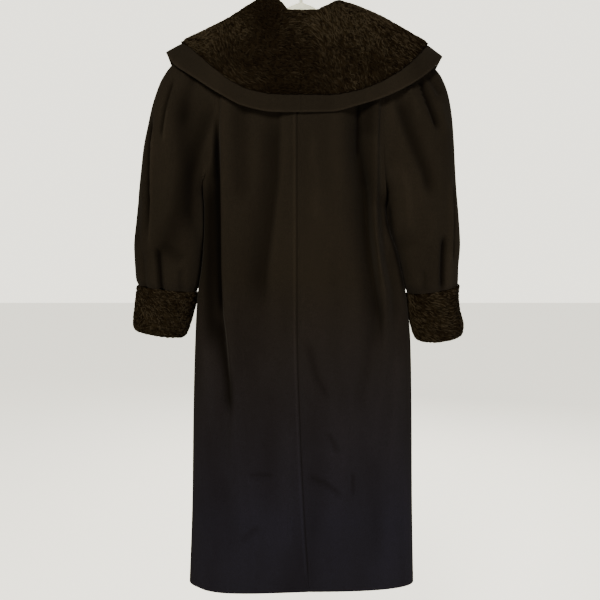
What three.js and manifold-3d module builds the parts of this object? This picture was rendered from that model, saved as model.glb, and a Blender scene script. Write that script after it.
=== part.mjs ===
// A long wool coat with a wide fur shawl collar and deep fur cuffs, on a plastic hanger.
// Millimetres, +Z up. The origin is the inner top of the hanger's hook, where a rail holds it.
// The back of the coat faces -Y and the front +Y, so the wearer's right side is +X.
import * as THREE from 'three';
import { mergeVertices } from 'three/addons/utils/BufferGeometryUtils.js';
import Module from 'manifold-3d';

// ---- driving dimensions ----
const WOOL = 3;                 // thickness of the wool walls
const FUR = 9;                  // leather and fur of the collar, to the tips of the curls
const CUFF_FUR = 9;             // the same on the cuffs
const SEAM_GAP = 0.3;           // space left between two pieces at a seam
const HEM = -1267;              // lower edge of the coat
const BACK_DEPTH = 61;          // centre back, behind the hanger's plane
const FRONT_DEPTH = 57;         // centre front, before the hanger's plane
const SECTION_POWER = 2.7;      // 2 is an ellipse, higher is boxier
const LAP = 35;                 // each front passes the centre front by this much
const NECK_HALF = 72;           // half the neck opening, at the shoulder seams
const SHOULDER_RISE = 4;        // from the top of the hanger's arms up to the coat's outside
const SHOULDER_CAP = 0.35;      // part of the shoulder-to-underarm height that rounds over
const UNDERARM = -430;          // level where the side seams end under the arms
const ARMHOLE_REACH = 205;      // the chest's section would close this far out, or a little past its side
const ARMHOLE_SPARE = 7;

const ARM_TOP = -66;            // top of the hanger's arms at its centre
const ARM_SLOPE = 0.507;        // fall of the arms for each millimetre outwards
const ARM_REACH = 195;          // half the hanger's length
const ARM_THICKNESS = 8;        // from back to front
const ARM_HEIGHT = 17;          // square to the arm
const ARM_CORNER = 3.6;
const ARM_PEAK = 3;             // softness of the bend where the arms meet
const HOOK_WIRE = 7;
const HOOK_BEND = 21.5;         // radius of the hook, at the middle of its wire
const HOOK_FROM = -52;          // the hook's bend runs from this angle, in degrees
const HOOK_TO = 200;

const BUTTON_RADIUS = 16;
const BUTTON_THICKNESS = 4.5;
const BUTTON_LEVELS = [-480, -640, -800];

// Rows of the panels: parts of the way from the shoulder line to the underarm, then levels.
const UPPER_PARTS = [0, 0.008, 0.03, 0.08, 0.15, 0.24, 0.34, 0.45, 0.57, 0.68, 0.79, 0.9, 0.97, 1];
const LOWER_PARTS = [0.07, 0.14, 0.21, 0.28, 0.36, 0.46, 0.58, 0.7, 0.82, 0.92, 1];

// The centre back seam wanders a little from the middle.
const SEAM = [
  { z: -110, x: -8 }, { z: -700, x: -8 }, { z: -950, x: -1 }, { z: -1130, x: 8 }, { z: HEM, x: 17 },
];

// Half widths and folds of the body at each level, measured outwards from the middle.
// trough and inner are soft folds in the back, ridge is the fold that stands out at its
// edge, valley is the cloth that falls back beside it; a positive depth goes inwards.
const BODY = {
  left: [
    { z: -165, side: 200, trough: NECK_HALF, troughIn: 0, inner: 112, innerIn: 0, ridge: 158, ridgeIn: 0,
      valley: 180, valleyIn: 0 },
    { z: -215, side: 177, trough: 58, troughIn: 3, inner: 112, innerIn: 1, ridge: 152, ridgeIn: -1,
      valley: 163, valleyIn: 0 },
    { z: -285, side: 170, trough: 55, troughIn: 6, inner: 116, innerIn: 5, ridge: 156, ridgeIn: -4,
      valley: 163, valleyIn: 1 },
    { z: -345, side: 174, trough: 52, troughIn: 8, inner: 118, innerIn: 7, ridge: 158, ridgeIn: -6,
      valley: 165, valleyIn: 5 },
    { z: -400, side: 186, trough: 49, troughIn: 9, inner: 120, innerIn: 7, ridge: 158, ridgeIn: -7,
      valley: 166, valleyIn: 16 },
    { z: -430, side: 198, trough: 49, troughIn: 9, inner: 120, innerIn: 6, ridge: 158, ridgeIn: -7,
      valley: 167, valleyIn: 26 },
    { z: -500, side: 198.5, trough: 54, troughIn: 8, inner: 120, innerIn: 5, ridge: 158, ridgeIn: -7,
      valley: 167, valleyIn: 30 },
    { z: -583, side: 203.5, trough: 64, troughIn: 7, inner: 120, innerIn: 4, ridge: 158, ridgeIn: -7,
      valley: 167, valleyIn: 30 },
    { z: -669, side: 215.5, trough: 74, troughIn: 6, inner: 116, innerIn: 4, ridge: 155, ridgeIn: -6,
      valley: 167, valleyIn: 26 },
    { z: -764, side: 221, trough: 76, troughIn: 4, inner: 112, innerIn: 3, ridge: 144, ridgeIn: -5,
      valley: 160, valleyIn: 14 },
    { z: -890, side: 225.5, trough: 76, troughIn: 1, inner: 110, innerIn: 1, ridge: 136, ridgeIn: -2,
      valley: 158, valleyIn: 3 },
    { z: -1098, side: 230.5, trough: 78, troughIn: 0, inner: 116, innerIn: 0, ridge: 148, ridgeIn: 0,
      valley: 172, valleyIn: 0 },
    { z: HEM, side: 238, trough: 80, troughIn: 0, inner: 122, innerIn: 0, ridge: 156, ridgeIn: 0,
      valley: 182, valleyIn: 0 },
  ],
  right: [
    { z: -165, side: 197, trough: NECK_HALF, troughIn: 0, inner: 105, innerIn: 0, ridge: 150, ridgeIn: 0,
      valley: 176, valleyIn: 0 },
    { z: -215, side: 173, trough: 66, troughIn: -1, inner: 110, innerIn: 5, ridge: 146, ridgeIn: -2,
      valley: 160, valleyIn: 0 },
    { z: -285, side: 165, trough: 72, troughIn: -3, inner: 114, innerIn: 10, ridge: 150, ridgeIn: -5,
      valley: 158, valleyIn: 1 },
    { z: -345, side: 163, trough: 73, troughIn: -3, inner: 116, innerIn: 13, ridge: 149, ridgeIn: -7,
      valley: 155, valleyIn: 1 },
    { z: -400, side: 165, trough: 73, troughIn: -3, inner: 117, innerIn: 14, ridge: 148, ridgeIn: -8,
      valley: 156, valleyIn: 3 },
    { z: -430, side: 168, trough: 73, troughIn: -2, inner: 122, innerIn: 14, ridge: 148, ridgeIn: -8,
      valley: 157, valleyIn: 6 },
    { z: -512, side: 179.5, trough: 72, troughIn: -1, inner: 130, innerIn: 14, ridge: 149, ridgeIn: -8,
      valley: 164, valleyIn: 14 },
    { z: -575, side: 201, trough: 72, troughIn: 0, inner: 140, innerIn: 14, ridge: 154, ridgeIn: -8,
      valley: 172, valleyIn: 16 },
    { z: -669, side: 219.5, trough: 76, troughIn: 0, inner: 150, innerIn: 10, ridge: 170, ridgeIn: -5,
      valley: 190, valleyIn: 10 },
    { z: -764, side: 228.5, trough: 84, troughIn: 0, inner: 146, innerIn: 4, ridge: 172, ridgeIn: -2,
      valley: 192, valleyIn: 2 },
    { z: -890, side: 232, trough: 86, troughIn: 0, inner: 136, innerIn: 1, ridge: 168, ridgeIn: 0,
      valley: 190, valleyIn: 0 },
    { z: -1098, side: 235.5, trough: 86, troughIn: 0, inner: 132, innerIn: 0, ridge: 166, ridgeIn: 0,
      valley: 190, valleyIn: 0 },
    { z: HEM, side: 240, trough: 90, troughIn: 0, inner: 134, innerIn: 0, ridge: 168, ridgeIn: 0,
      valley: 194, valleyIn: 0 },
  ],
};
const BACK_SPANS = { trough: 5, inner: 3, ridge: 3, valley: 2, side: 4 };   // columns in each
const FRONT_COLUMNS = 9;

// The body's mid plane drifts back and its depth shrinks towards the hem.
const DEPTH = [
  { z: -160, mid: 0, part: 1 }, { z: -700, mid: -2, part: 1 }, { z: -1000, mid: -7, part: 0.95 },
  { z: HEM, mid: -12, part: 0.86 },
];

// Neck seam, from the centre back over the shoulder (along = 6) to the end of the lapel.
// roll is the top of the fold, mid lies on the fall, border is the seam between fur and
// band, edge is the band's free edge: x outwards, then y and z, all on the collar's underside.
const COLLAR = {
  left: [
    { along: 0, seam: [0, -44, -121], roll: [0, -46, -109], mid: [0, -63.5, -192],
      border: [0, -65.5, -266], edge: [0, -66.5, -300] },
    { along: 1, seam: [26, -42, -118], roll: [24, -44, -107], mid: [42, -63, -186],
      border: [48, -65.5, -265.5], edge: [52, -66.5, -299.5] },
    { along: 2, seam: [48, -34, -110], roll: [43, -36, -88], mid: [78, -60, -170],
      border: [98, -64.5, -257], edge: [108, -65.5, -289] },
    { along: 3, seam: [62, -21, -103], roll: [58, -22, -75], mid: [108, -51, -148],
      border: [142, -61.5, -234.5], edge: [160, -63, -263] },
    { along: 4, seam: [69.5, -10, -99.5], roll: [66, -11, -70], mid: [131, -36, -128],
      border: [180, -52, -203.5], edge: [206, -54.5, -233] },
    { along: 5, seam: [71.7, -4, -98.6], roll: [68.5, -4, -68.5], mid: [145, -17, -116],
      border: [217, -30, -169], edge: [251, -34, -200] },
    { along: 6, seam: [71.7, 0, -98.5], roll: [69, 0, -68.5], mid: [149, 0, -110.5],
      border: [238.5, -2, -153], edge: [271, -3, -170.5] },
    { along: 7, seam: [70, 9, -100], roll: [68, 10, -70.5], mid: [147, 18, -118],
      border: [229, 26, -170], edge: [261, 29, -202] },
  ],
  right: [
    { along: 0, seam: [0, -44, -121], roll: [0, -46, -109], mid: [0, -63.5, -192],
      border: [0, -65.5, -266], edge: [0, -66.5, -300] },
    { along: 1, seam: [26, -42, -118], roll: [26, -44.5, -108], mid: [44, -63, -186],
      border: [55, -65.5, -266.5], edge: [57, -66.5, -299] },
    { along: 2, seam: [48, -34, -110], roll: [50, -37, -97], mid: [82, -60, -170],
      border: [104, -64.5, -259], edge: [112, -65.5, -286] },
    { along: 3, seam: [62, -21, -103], roll: [67, -25, -84.5], mid: [114, -50, -146],
      border: [152, -62, -242], edge: [165, -63.5, -269] },
    { along: 4, seam: [69.5, -10, -99.5], roll: [74, -13, -79], mid: [137, -35, -121],
      border: [200, -53, -212], edge: [226, -56, -237] },
    { along: 5, seam: [71.7, -4, -98.6], roll: [77, -5, -78], mid: [146, -17, -106],
      border: [238.5, -28, -173.5], edge: [267, -34, -202] },
    { along: 6, seam: [71.7, 0, -98.5], roll: [78, 0, -78], mid: [149.5, 0, -100.5],
      border: [252, -2, -155.5], edge: [283.5, -3, -179] },
    { along: 7, seam: [70, 9, -100], roll: [74, 10, -78], mid: [148, 18, -109],
      border: [240.5, 26, -175.5], edge: [271.5, 29, -206] },
  ],
};
// The lapels, the same on both sides, down to their ends at the fronts' free edges.
const LAPEL = [
  { along: 8, seam: [65, 21, -105], roll: [64, 23, -79], mid: [134, 39, -148],
    border: [198, 50, -222], edge: [230, 53, -250] },
  { along: 9, seam: [57, 36, -121], roll: [56, 40, -100], mid: [111, 51, -182],
    border: [164, 55, -270], edge: [190, 58, -300] },
  { along: 10, seam: [45, 48, -152], roll: [45, 54, -139], mid: [84, 57.5, -226],
    border: [122, 57, -314], edge: [143, 57, -346] },
  { along: 11, seam: [28, 55.5, -202], roll: [30, 60.5, -193], mid: [53, 59.5, -274],
    border: [76, 59, -354], edge: [92, 59, -388] },
  { along: 12, seam: [2, 57, -282], roll: [5, 62, -276], mid: [18, 60.5, -332],
    border: [32, 60, -386], edge: [40, 60, -420] },
  { along: 13, seam: [-LAP, 57, -385], roll: [-LAP, 62, -381], mid: [-LAP, 61, -394],
    border: [-LAP, 60.5, -408], edge: [-LAP, 60.5, -442] },
];
COLLAR.left.push(...LAPEL);
COLLAR.right.push(...LAPEL);
const COLLAR_STATIONS = [
  0, 0.5, 1, 1.5, 2, 2.5, 3, 3.5, 4, 4.4, 4.8, 5.2, 5.6, 6, 6.4, 6.8, 7.3, 8, 8.7, 9.4, 10.2, 11, 12, 13,
];
const SHOULDER = 6;             // the station that lies on the shoulder seam
// The left lapel lies under the right one, so it is pushed in near the centre front.
// The left back has stretched: its hem hangs this much lower, at x across the coat.
const HEM_SAG = [
  { x: -238, drop: 0 }, { x: -215, drop: 2.5 }, { x: -196, drop: 5.8 }, { x: -165, drop: 7 },
  { x: -115, drop: 5.6 }, { x: -50, drop: 2.7 }, { x: 17, drop: 0 },
];
const SAG_FROM = -1100;         // the sag fades in from this level down

const UNDERLAP = [
  { z: -150, push: 0 }, { z: -210, push: 6 }, { z: -260, push: 20 }, { z: -445, push: 20 },
  { z: -540, push: 6 }, { z: HEM, push: 4.5 },
];
const UNDERLAP_REACH = 130;     // the push fades out from the lap's edge to this far out

// Sleeves: each row is a ring between its outer and its inner point, seen from behind.
// depth is half its size from back to front, y is where its middle lies, and dip is how
// much lower its back hangs than its middle.
const SLEEVE = {
  left: [
    { outer: [205, -165], inner: [198.6, -432], depth: 47, y: 0, dip: 0 },
    { outer: [230, -168], inner: [200, -440], depth: 51, y: 0, dip: 0 },
    { outer: [263, -187], inner: [200.5, -450], depth: 53, y: 0, dip: 0 },
    { outer: [285, -229], inner: [200, -461], depth: 54, y: 0, dip: 0 },
    { outer: [300, -269], inner: [199.5, -473], depth: 54, y: 0, dip: 0 },
    { outer: [311.5, -312], inner: [199, -487], depth: 54, y: 1, dip: 0 },
    { outer: [320.5, -354], inner: [199, -502], depth: 54, y: 1, dip: 0 },
    { outer: [327, -400], inner: [199.5, -520], depth: 54, y: 2, dip: 0 },
    { outer: [333, -446], inner: [200.5, -538], depth: 53, y: 3, dip: 0 },
    { outer: [340, -505], inner: [202, -560], depth: 53, y: 4, dip: 0 },
    { outer: [346, -560], inner: [205, -586], depth: 52, y: 5, dip: 0 },
    { outer: [345, -602], inner: [208, -612], depth: 50, y: 6, dip: 0 },
    { outer: [343.5, -624.5], inner: [212, -635], depth: 47, y: 6, dip: 1.5 },
    { outer: [339, -636.6], inner: [218, -651.1], depth: 40, y: 6, dip: 2 },
  ],
  right: [
    { outer: [202, -163], inner: [168.6, -432], depth: 47, y: 0, dip: 0 },
    { outer: [230, -166], inner: [171, -440], depth: 51, y: 0, dip: 0 },
    { outer: [259, -184], inner: [172.5, -450], depth: 53, y: 0, dip: 0 },
    { outer: [283, -216], inner: [174, -462], depth: 54, y: 0, dip: 0 },
    { outer: [298, -252], inner: [176, -475], depth: 54, y: 0, dip: 0 },
    { outer: [307, -298], inner: [177.5, -489], depth: 54, y: 1, dip: 0 },
    { outer: [311.5, -345], inner: [180.5, -504], depth: 54, y: 1, dip: 0 },
    { outer: [315, -393], inner: [184.5, -521], depth: 54, y: 2, dip: 0 },
    { outer: [319, -440], inner: [189.5, -539], depth: 53, y: 3, dip: 0 },
    { outer: [325.5, -500], inner: [197, -562], depth: 53, y: 4, dip: 0 },
    { outer: [329.5, -556], inner: [205, -588], depth: 52, y: 5, dip: 0 },
    { outer: [327, -602], inner: [211.5, -615], depth: 51, y: 6, dip: 2 },
    { outer: [327, -622.5], inner: [216, -639], depth: 50, y: 6, dip: 4.5 },
    { outer: [326.5, -634.6], inner: [222, -652.6], depth: 45, y: 6, dip: 6 },
  ],
};
const HEAD_BLEND = [0, 0.3, 0.75];   // how far the first rings have left the armhole
// Pleats of the sleeve: at is the part of the way round from the top to the underarm, on
// the back when it is positive and on the front when it is negative; rows count from the
// armhole; lift is outwards, so a negative one is a groove.
const PLEATS = {
  left: [
    { at: 0.03, from: 0, to: 7, lift: 5 }, { at: 0.08, from: 0, to: 5, lift: -5 },
    { at: 0.15, from: 0, to: 13, lift: 5 }, { at: 0.24, from: 0, to: 6, lift: -6 },
    { at: 0.34, from: 0, to: 7, lift: 4 }, { at: 0.34, from: 9, to: 13, lift: -7 },
    { at: -0.03, from: 0, to: 7, lift: 5 }, { at: -0.08, from: 0, to: 5, lift: -5 },
    { at: -0.15, from: 0, to: 9, lift: 5 }, { at: -0.24, from: 0, to: 6, lift: -6 },
  ],
  right: [
    { at: 0.03, from: 0, to: 12, lift: 5 }, { at: 0.08, from: 0, to: 6, lift: -6 },
    { at: 0.15, from: 0, to: 9, lift: 5 }, { at: 0.24, from: 0, to: 8, lift: -7 },
    { at: 0.34, from: 0, to: 8, lift: 5 }, { at: 0.34, from: 9, to: 13, lift: -7 },
    { at: -0.03, from: 0, to: 7, lift: 5 }, { at: -0.08, from: 0, to: 5, lift: -5 },
    { at: -0.15, from: 0, to: 9, lift: 5 }, { at: -0.24, from: 0, to: 6, lift: -6 },
  ],
};

// Cuffs: rings from the sleeve down, written as the sleeve's are, outside of the fur.
const CUFF = {
  left: [
    { outer: [344.5, -637], inner: [213, -651.5], depth: 44, y: 6, dip: 2 },
    { outer: [346, -652], inner: [214.5, -663], depth: 47, y: 6, dip: 2 },
    { outer: [350, -683], inner: [222, -691], depth: 48, y: 6, dip: 2 },
    { outer: [353.5, -714], inner: [233, -727], depth: 48, y: 6, dip: 2 },
    { outer: [351, -730], inner: [241, -746], depth: 45, y: 6, dip: 2 },
  ],
  right: [
    { outer: [333, -635], inner: [219, -653], depth: 49, y: 6, dip: 6 },
    { outer: [330.5, -651], inner: [219.5, -668], depth: 52, y: 6, dip: 6 },
    { outer: [333.5, -684], inner: [223, -696], depth: 53, y: 6, dip: 6 },
    { outer: [342, -720], inner: [231, -731], depth: 53, y: 6, dip: 6 },
    { outer: [340, -739], inner: [238, -751], depth: 50, y: 6, dip: 6 },
  ],
};
const CUFF_COLUMNS = 26;

const WOOL_BLACK = new THREE.MeshStandardMaterial({ color: 0x1c1914, roughness: 0.95, metalness: 0 });
const FUR_BROWN = new THREE.MeshStandardMaterial({ color: 0x1f1612, roughness: 0.9, metalness: 0 });
const PLASTIC = new THREE.MeshStandardMaterial({ color: 0xefe9d2, roughness: 0.4, metalness: 0 });
const HORN = new THREE.MeshStandardMaterial({ color: 0x15120f, roughness: 0.3, metalness: 0 });

const SIDES = { left: -1, right: 1 };
const coat = new THREE.Group();

// ---- helpers ----
const mix = (a, b, t) => a + (b - a) * t;
const fade = (t) => THREE.MathUtils.smoothstep(t, 0, 1);

// Smooth value of a table's column at a place along its key, which may rise or fall. The
// curve never overshoots its rows.
function read(table, key, place, column, index) {
  const value = (row) => (index === undefined ? row[column] : row[column][index]);
  const sense = Math.sign(table[table.length - 1][key] - table[0][key]);
  const last = table.length - 2;
  let i = 0;
  while (i < last && (place - table[i + 1][key]) * sense > 0) i += 1;
  const slope = (a, b) => (value(b) - value(a)) / (b[key] - a[key]);
  const joint = (a, b) => (a * b > 0 ? (2 * a * b) / (a + b) : 0);
  const [low, high] = [table[i], table[i + 1]];
  const span = high[key] - low[key];
  const here = slope(low, high);
  const before = i > 0 ? joint(slope(table[i - 1], low), here) : here;
  const after = i < last ? joint(slope(high, table[i + 2]), here) : here;
  const t = Math.min(1, Math.max(0, (place - low[key]) / span));
  const [t2, t3] = [t * t, t * t * t];
  return value(low) * (2 * t3 - 3 * t2 + 1) + value(high) * (3 * t2 - 2 * t3)
    + span * (before * (t3 - 2 * t2 + t) + after * (t3 - t2));
}

function addMesh(name, geometry, material) {
  const mesh = new THREE.Mesh(geometry, material);
  mesh.name = name;
  coat.add(mesh);
}

// Normals of a grid of points. At the borders, settle turns a normal into the seam's own
// direction, so that two walls which meet there stand square to each other.
function gridNormals(grid, turn, closed, settle) {
  const rows = grid.length;
  const columns = grid[0].length;
  return grid.map((row, i) => row.map((point, j) => {
    const up = grid[Math.max(0, i - 1)][j];
    const down = grid[Math.min(rows - 1, i + 1)][j];
    const before = closed ? row[(j + columns - 1) % columns] : row[Math.max(0, j - 1)];
    const after = closed ? row[(j + 1) % columns] : row[Math.min(columns - 1, j + 1)];
    const along = new THREE.Vector3().subVectors(down, up);
    const across = new THREE.Vector3().subVectors(after, before);
    const normal = new THREE.Vector3().crossVectors(along, across).multiplyScalar(turn).normalize();
    return (settle ? settle(normal, i, j) : normal).normalize();
  }));
}

// A closed wall between a grid of points and the same grid moved against its normals by the
// thickness. turn is 1 or -1 and says which way the normals point.
function wall(grid, thickness, turn, { closed = false, settle = null } = {}) {
  const rows = grid.length;
  const columns = grid[0].length;
  const normals = gridNormals(grid, turn, closed, settle);
  const positions = [];
  for (const layer of [0, 1]) {
    grid.forEach((row, i) => row.forEach((point, j) => {
      const depth = layer * (typeof thickness === 'function' ? thickness(i, j) : thickness);
      positions.push(...point.clone().addScaledVector(normals[i][j], -depth).toArray());
    }));
  }
  const at = (layer, i, j) => layer * rows * columns + i * columns + (j % columns);
  const faces = [];
  const quad = (a, b, c, d) => faces.push(a, b, c, a, c, d);
  const spans = closed ? columns : columns - 1;
  for (let i = 0; i < rows - 1; i += 1) {
    for (let j = 0; j < spans; j += 1) {
      quad(at(0, i, j), at(0, i + 1, j), at(0, i + 1, j + 1), at(0, i, j + 1));
      quad(at(1, i, j), at(1, i, j + 1), at(1, i + 1, j + 1), at(1, i + 1, j));
    }
  }
  for (let j = 0; j < spans; j += 1) {
    quad(at(0, 0, j), at(0, 0, j + 1), at(1, 0, j + 1), at(1, 0, j));
    quad(at(0, rows - 1, j), at(1, rows - 1, j), at(1, rows - 1, j + 1), at(0, rows - 1, j + 1));
  }
  if (!closed) {
    const end = columns - 1;
    for (let i = 0; i < rows - 1; i += 1) {
      quad(at(0, i, 0), at(1, i, 0), at(1, i + 1, 0), at(0, i + 1, 0));
      quad(at(0, i, end), at(0, i + 1, end), at(1, i + 1, end), at(1, i, end));
    }
  }
  return facingOut(positions, faces);
}

function facingOut(positions, faces) {
  const corner = (n) => new THREE.Vector3().fromArray(positions, 3 * n);
  let volume = 0;
  for (let k = 0; k < faces.length; k += 3) {
    const [a, b, c] = [corner(faces[k]), corner(faces[k + 1]), corner(faces[k + 2])];
    volume += a.dot(b.cross(c));
  }
  const geometry = new THREE.BufferGeometry();
  geometry.setAttribute('position', new THREE.Float32BufferAttribute(positions, 3));
  geometry.setIndex(volume > 0 ? faces : faces.reverse());
  return geometry;
}

// ---- body ----
const shoulderLine = (out) => ARM_TOP + SHOULDER_RISE - ARM_SLOPE * out;

// Distance of the plain body's surface from its mid plane, at x outwards of the middle.
function sectionDepth(out, reach, depth) {
  const part = Math.min(1, Math.abs(out) / reach);
  return depth * (1 - part ** SECTION_POWER) ** (1 / SECTION_POWER);
}

// Above the underarm the section does not close, since the armhole cuts it off. Below, it
// closes at the side seam within a short way.
function sectionReach(name, z) {
  const open = Math.max(ARMHOLE_REACH, read(BODY[name], 'z', UNDERARM, 'side') + ARMHOLE_SPARE);
  return mix(open, read(BODY[name], 'z', z, 'side'), fade((UNDERARM - z) / 50));
}

// The rounding over the shoulder: 0 on the shoulder line and 1 where the body is full.
const shoulderRound = (part) => Math.sqrt(1 - (1 - Math.min(1, part / SHOULDER_CAP)) ** 2);

const rowsOfPanel = [
  ...UPPER_PARTS.map((part) => ({ upper: part, side: mix(shoulderLine(200), UNDERARM, part) })),
  ...LOWER_PARTS.map((part) => ({ upper: 1, side: mix(UNDERARM, HEM, part) })),
];
const underarmRow = UPPER_PARTS.length - 1;

// One column of a back panel's section: how far out it is, and how far the folds push it in.
function backColumns(name, z) {
  const row = (column) => read(BODY[name], 'z', z, column);
  const stops = [{ out: SIDES[name] * read(SEAM, 'z', z, 'x'), push: 0 }];
  for (const fold of ['trough', 'inner', 'ridge', 'valley']) {
    stops.push({ out: row(fold), push: row(`${fold}In`) });
  }
  stops.push({ out: row('side'), push: 0 });
  const columns = [stops[0]];
  Object.values(BACK_SPANS).forEach((count, k) => {
    for (let n = 1; n <= count; n += 1) {
      const part = k === 4 ? Math.sin((n / count) * Math.PI / 2) : n / count;
      columns.push({
        out: mix(stops[k].out, stops[k + 1].out, part),
        push: mix(stops[k].push, stops[k + 1].push, fade(n / count)),
      });
    }
  });
  return columns;
}

// How far back and how high the neck seam lies at x outwards, on the back.
function neckPoint(out) {
  let [low, high] = [0, SHOULDER];
  for (let n = 0; n < 30; n += 1) {
    const middle = (low + high) / 2;
    if (read(COLLAR.left, 'along', middle, 'seam', 0) > out) high = middle;
    else low = middle;
  }
  const along = (low + high) / 2;
  return [1, 2].map((axis) => read(COLLAR.left, 'along', along, 'seam', axis));
}

function backGrid(name) {
  const hand = SIDES[name];
  return rowsOfPanel.map((row) => {
    const columns = backColumns(name, row.side);
    return columns.map(({ out, push }, j) => {
      const inNeck = out < NECK_HALF;
      const [neckY, neckZ] = inNeck ? neckPoint(out) : [0, shoulderLine(out)];
      const top = inNeck ? neckZ - 2 * SEAM_GAP : shoulderLine(out);
      const z = row.upper < 1 ? mix(top, UNDERARM, row.upper) : row.side;
      const mid = read(DEPTH, 'z', z, 'mid');
      const depth = BACK_DEPTH * read(DEPTH, 'z', z, 'part');
      const full = mid - sectionDepth(out, sectionReach(name, row.side), depth) + push;
      const rounded = mix(inNeck ? neckY : 0, full, row.upper < 1 ? shoulderRound(row.upper) : 1);
      const x = j === 0 ? out + SEAM_GAP / 2 : out;
      const seam = (row.upper < 1 ? 0 : mid) - SEAM_GAP / 2;
      const atSide = j === columns.length - 1 && row.upper === 1;
      const sag = read(HEM_SAG, 'x', hand * x, 'drop') * fade((SAG_FROM - z) / (SAG_FROM - HEM));
      return new THREE.Vector3(hand * x, atSide ? seam : Math.min(rounded, seam), z - sag);
    });
  });
}

// How far the left front and lapel are pushed in, under the right ones.
function underlap(name, out, z) {
  const near = fade(1 - (out - LAP) / (UNDERLAP_REACH - LAP));
  return name === 'left' ? read(UNDERLAP, 'z', z, 'push') * near : 0;
}

// The front's free edge: down the neck seam to the end of the lapel, then straight down.
function frontEdge(row) {
  if (row.upper < 1) {
    const along = mix(SHOULDER, LAPEL[LAPEL.length - 1].along, row.upper ** 0.75);
    const [x, y, z] = [0, 1, 2].map((axis) => read(COLLAR.left, 'along', along, 'seam', axis));
    return { out: x + 2 * SEAM_GAP, y, z: z - SEAM_GAP };
  }
  return { out: -LAP, y: null, z: row.side };
}

function frontGrid(name) {
  const hand = SIDES[name];
  return rowsOfPanel.map((row) => {
    const edge = frontEdge(row);
    const side = read(BODY[name], 'z', row.side, 'side');
    const columns = [];
    for (let j = 0; j <= FRONT_COLUMNS; j += 1) {
      const part = Math.sin((j / FRONT_COLUMNS) * Math.PI / 2);
      const out = mix(edge.out, side, part);
      const lineTop = mix(edge.z, shoulderLine(side), (out - edge.out) / (side - edge.out));
      const top = row.upper < 1 ? mix(edge.z, row.side, part) : row.side;
      const z = row.upper === 0 ? lineTop : top;
      const mid = read(DEPTH, 'z', z, 'mid');
      const depth = FRONT_DEPTH * read(DEPTH, 'z', z, 'part');
      const full = mid + sectionDepth(out, sectionReach(name, row.side), depth);
      const line = shoulderLine(Math.abs(out));
      const rounded = mix(0, full, shoulderRound(Math.max(0, (line - z) / (line - UNDERARM))));
      const blended = edge.y === null ? rounded : mix(edge.y, rounded, fade(part * 3));
      const seam = (row.upper < 1 ? 0 : mid) + SEAM_GAP / 2;
      const atSide = j === FRONT_COLUMNS && row.upper === 1;
      const y = atSide ? seam : Math.max(blended, seam);
      columns.push(new THREE.Vector3(hand * out, y - underlap(name, out, z), z));
    }
    return columns;
  });
}

// The direction of the wool's thickness at the armhole: up at the shoulder, level from
// halfway down. faces is -1 on the back and 1 on the front.
function armholeNormal(part, faces) {
  const cosine = Math.max(0, 1 - 2 * part);
  return new THREE.Vector3(0, faces * Math.sqrt(1 - cosine * cosine), cosine);
}

// Directions at a panel's borders: the centre seam, the shoulder, the armhole and the side.
function panelSettle(last, faces) {
  const shoulderFrom = faces < 0 ? BACK_SPANS.trough : 0;
  return (normal, i, j) => {
    if (j === last && i < underarmRow) return armholeNormal(UPPER_PARTS[i], faces);
    if (j === last || (i === 0 && j >= shoulderFrom)) return normal.setY(0);
    if (j === 0 && faces < 0) return normal.setX(0);
    if (j >= last - 2 && i <= underarmRow) return normal.setX(normal.x * 0.4 * (last - 1 - j));
    return normal;
  };
}

const armhole = {};
for (const [name, hand] of Object.entries(SIDES)) {
  const back = backGrid(name);
  const front = frontGrid(name);
  const backLast = back[0].length - 1;
  addMesh(`back_${name}`, wall(back, WOOL, hand, { settle: panelSettle(backLast, -1) }), WOOL_BLACK);
  addMesh(`front_${name}`, wall(front, WOOL, -hand, { settle: panelSettle(FRONT_COLUMNS, 1) }),
    WOOL_BLACK);
  armhole[name] = [
    back[0][backLast].clone().setY(0),
    ...back.slice(1, underarmRow).map((row) => row[backLast]),
    back[underarmRow][backLast].clone().setY(0),
    ...front.slice(1, underarmRow).map((row) => row[FRONT_COLUMNS]).reverse(),
  ].map((point) => point.clone().setX(point.x + hand * SEAM_GAP));
}

// ---- sleeves ----
// A ring row's point: part runs from the outer point (0) to the inner one (1) and is
// negative on the front.
function ringPoint(ring, hand, part, lift) {
  const cosine = 1 - 2 * Math.abs(part);
  const sine = Math.sqrt(1 - cosine * cosine) * (part < 0 ? -1 : 1);
  const [ox, oz] = ring.outer;
  const [ix, iz] = ring.inner;
  const [mx, mz] = [(ox + ix) / 2, (oz + iz) / 2];
  const [ax, az] = [(ox - ix) / 2, (oz - iz) / 2];
  const long = Math.hypot(ax, az);
  const swell = 1 + lift / Math.hypot(long * cosine, ring.depth * sine);
  return new THREE.Vector3(hand * (mx + ax * cosine * swell), ring.y - ring.depth * sine * swell,
    mz + az * cosine * swell - ring.dip * sine);
}

// The armhole's points and the rings' points run the same way: top, back, underarm, front.
const ringParts = [...UPPER_PARTS, ...UPPER_PARTS.slice(1, -1).reverse().map((part) => -part)];

function pleatLift(name, row, part) {
  let lift = 0;
  for (const pleat of PLEATS[name]) {
    if (Math.abs(pleat.at - part) > 1e-6 || row <= pleat.from || row >= pleat.to) continue;
    lift += pleat.lift * Math.sin(Math.PI * ((row - pleat.from) / (pleat.to - pleat.from)) ** 0.7);
  }
  return lift;
}

function sleeveGrid(name) {
  const hand = SIDES[name];
  return SLEEVE[name].map((ring, i) => ringParts.map((part, k) => {
    const point = ringPoint(ring, hand, part, pleatLift(name, i, part));
    return i < HEAD_BLEND.length ? armhole[name][k].clone().lerp(point, HEAD_BLEND[i]) : point;
  }));
}

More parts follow.
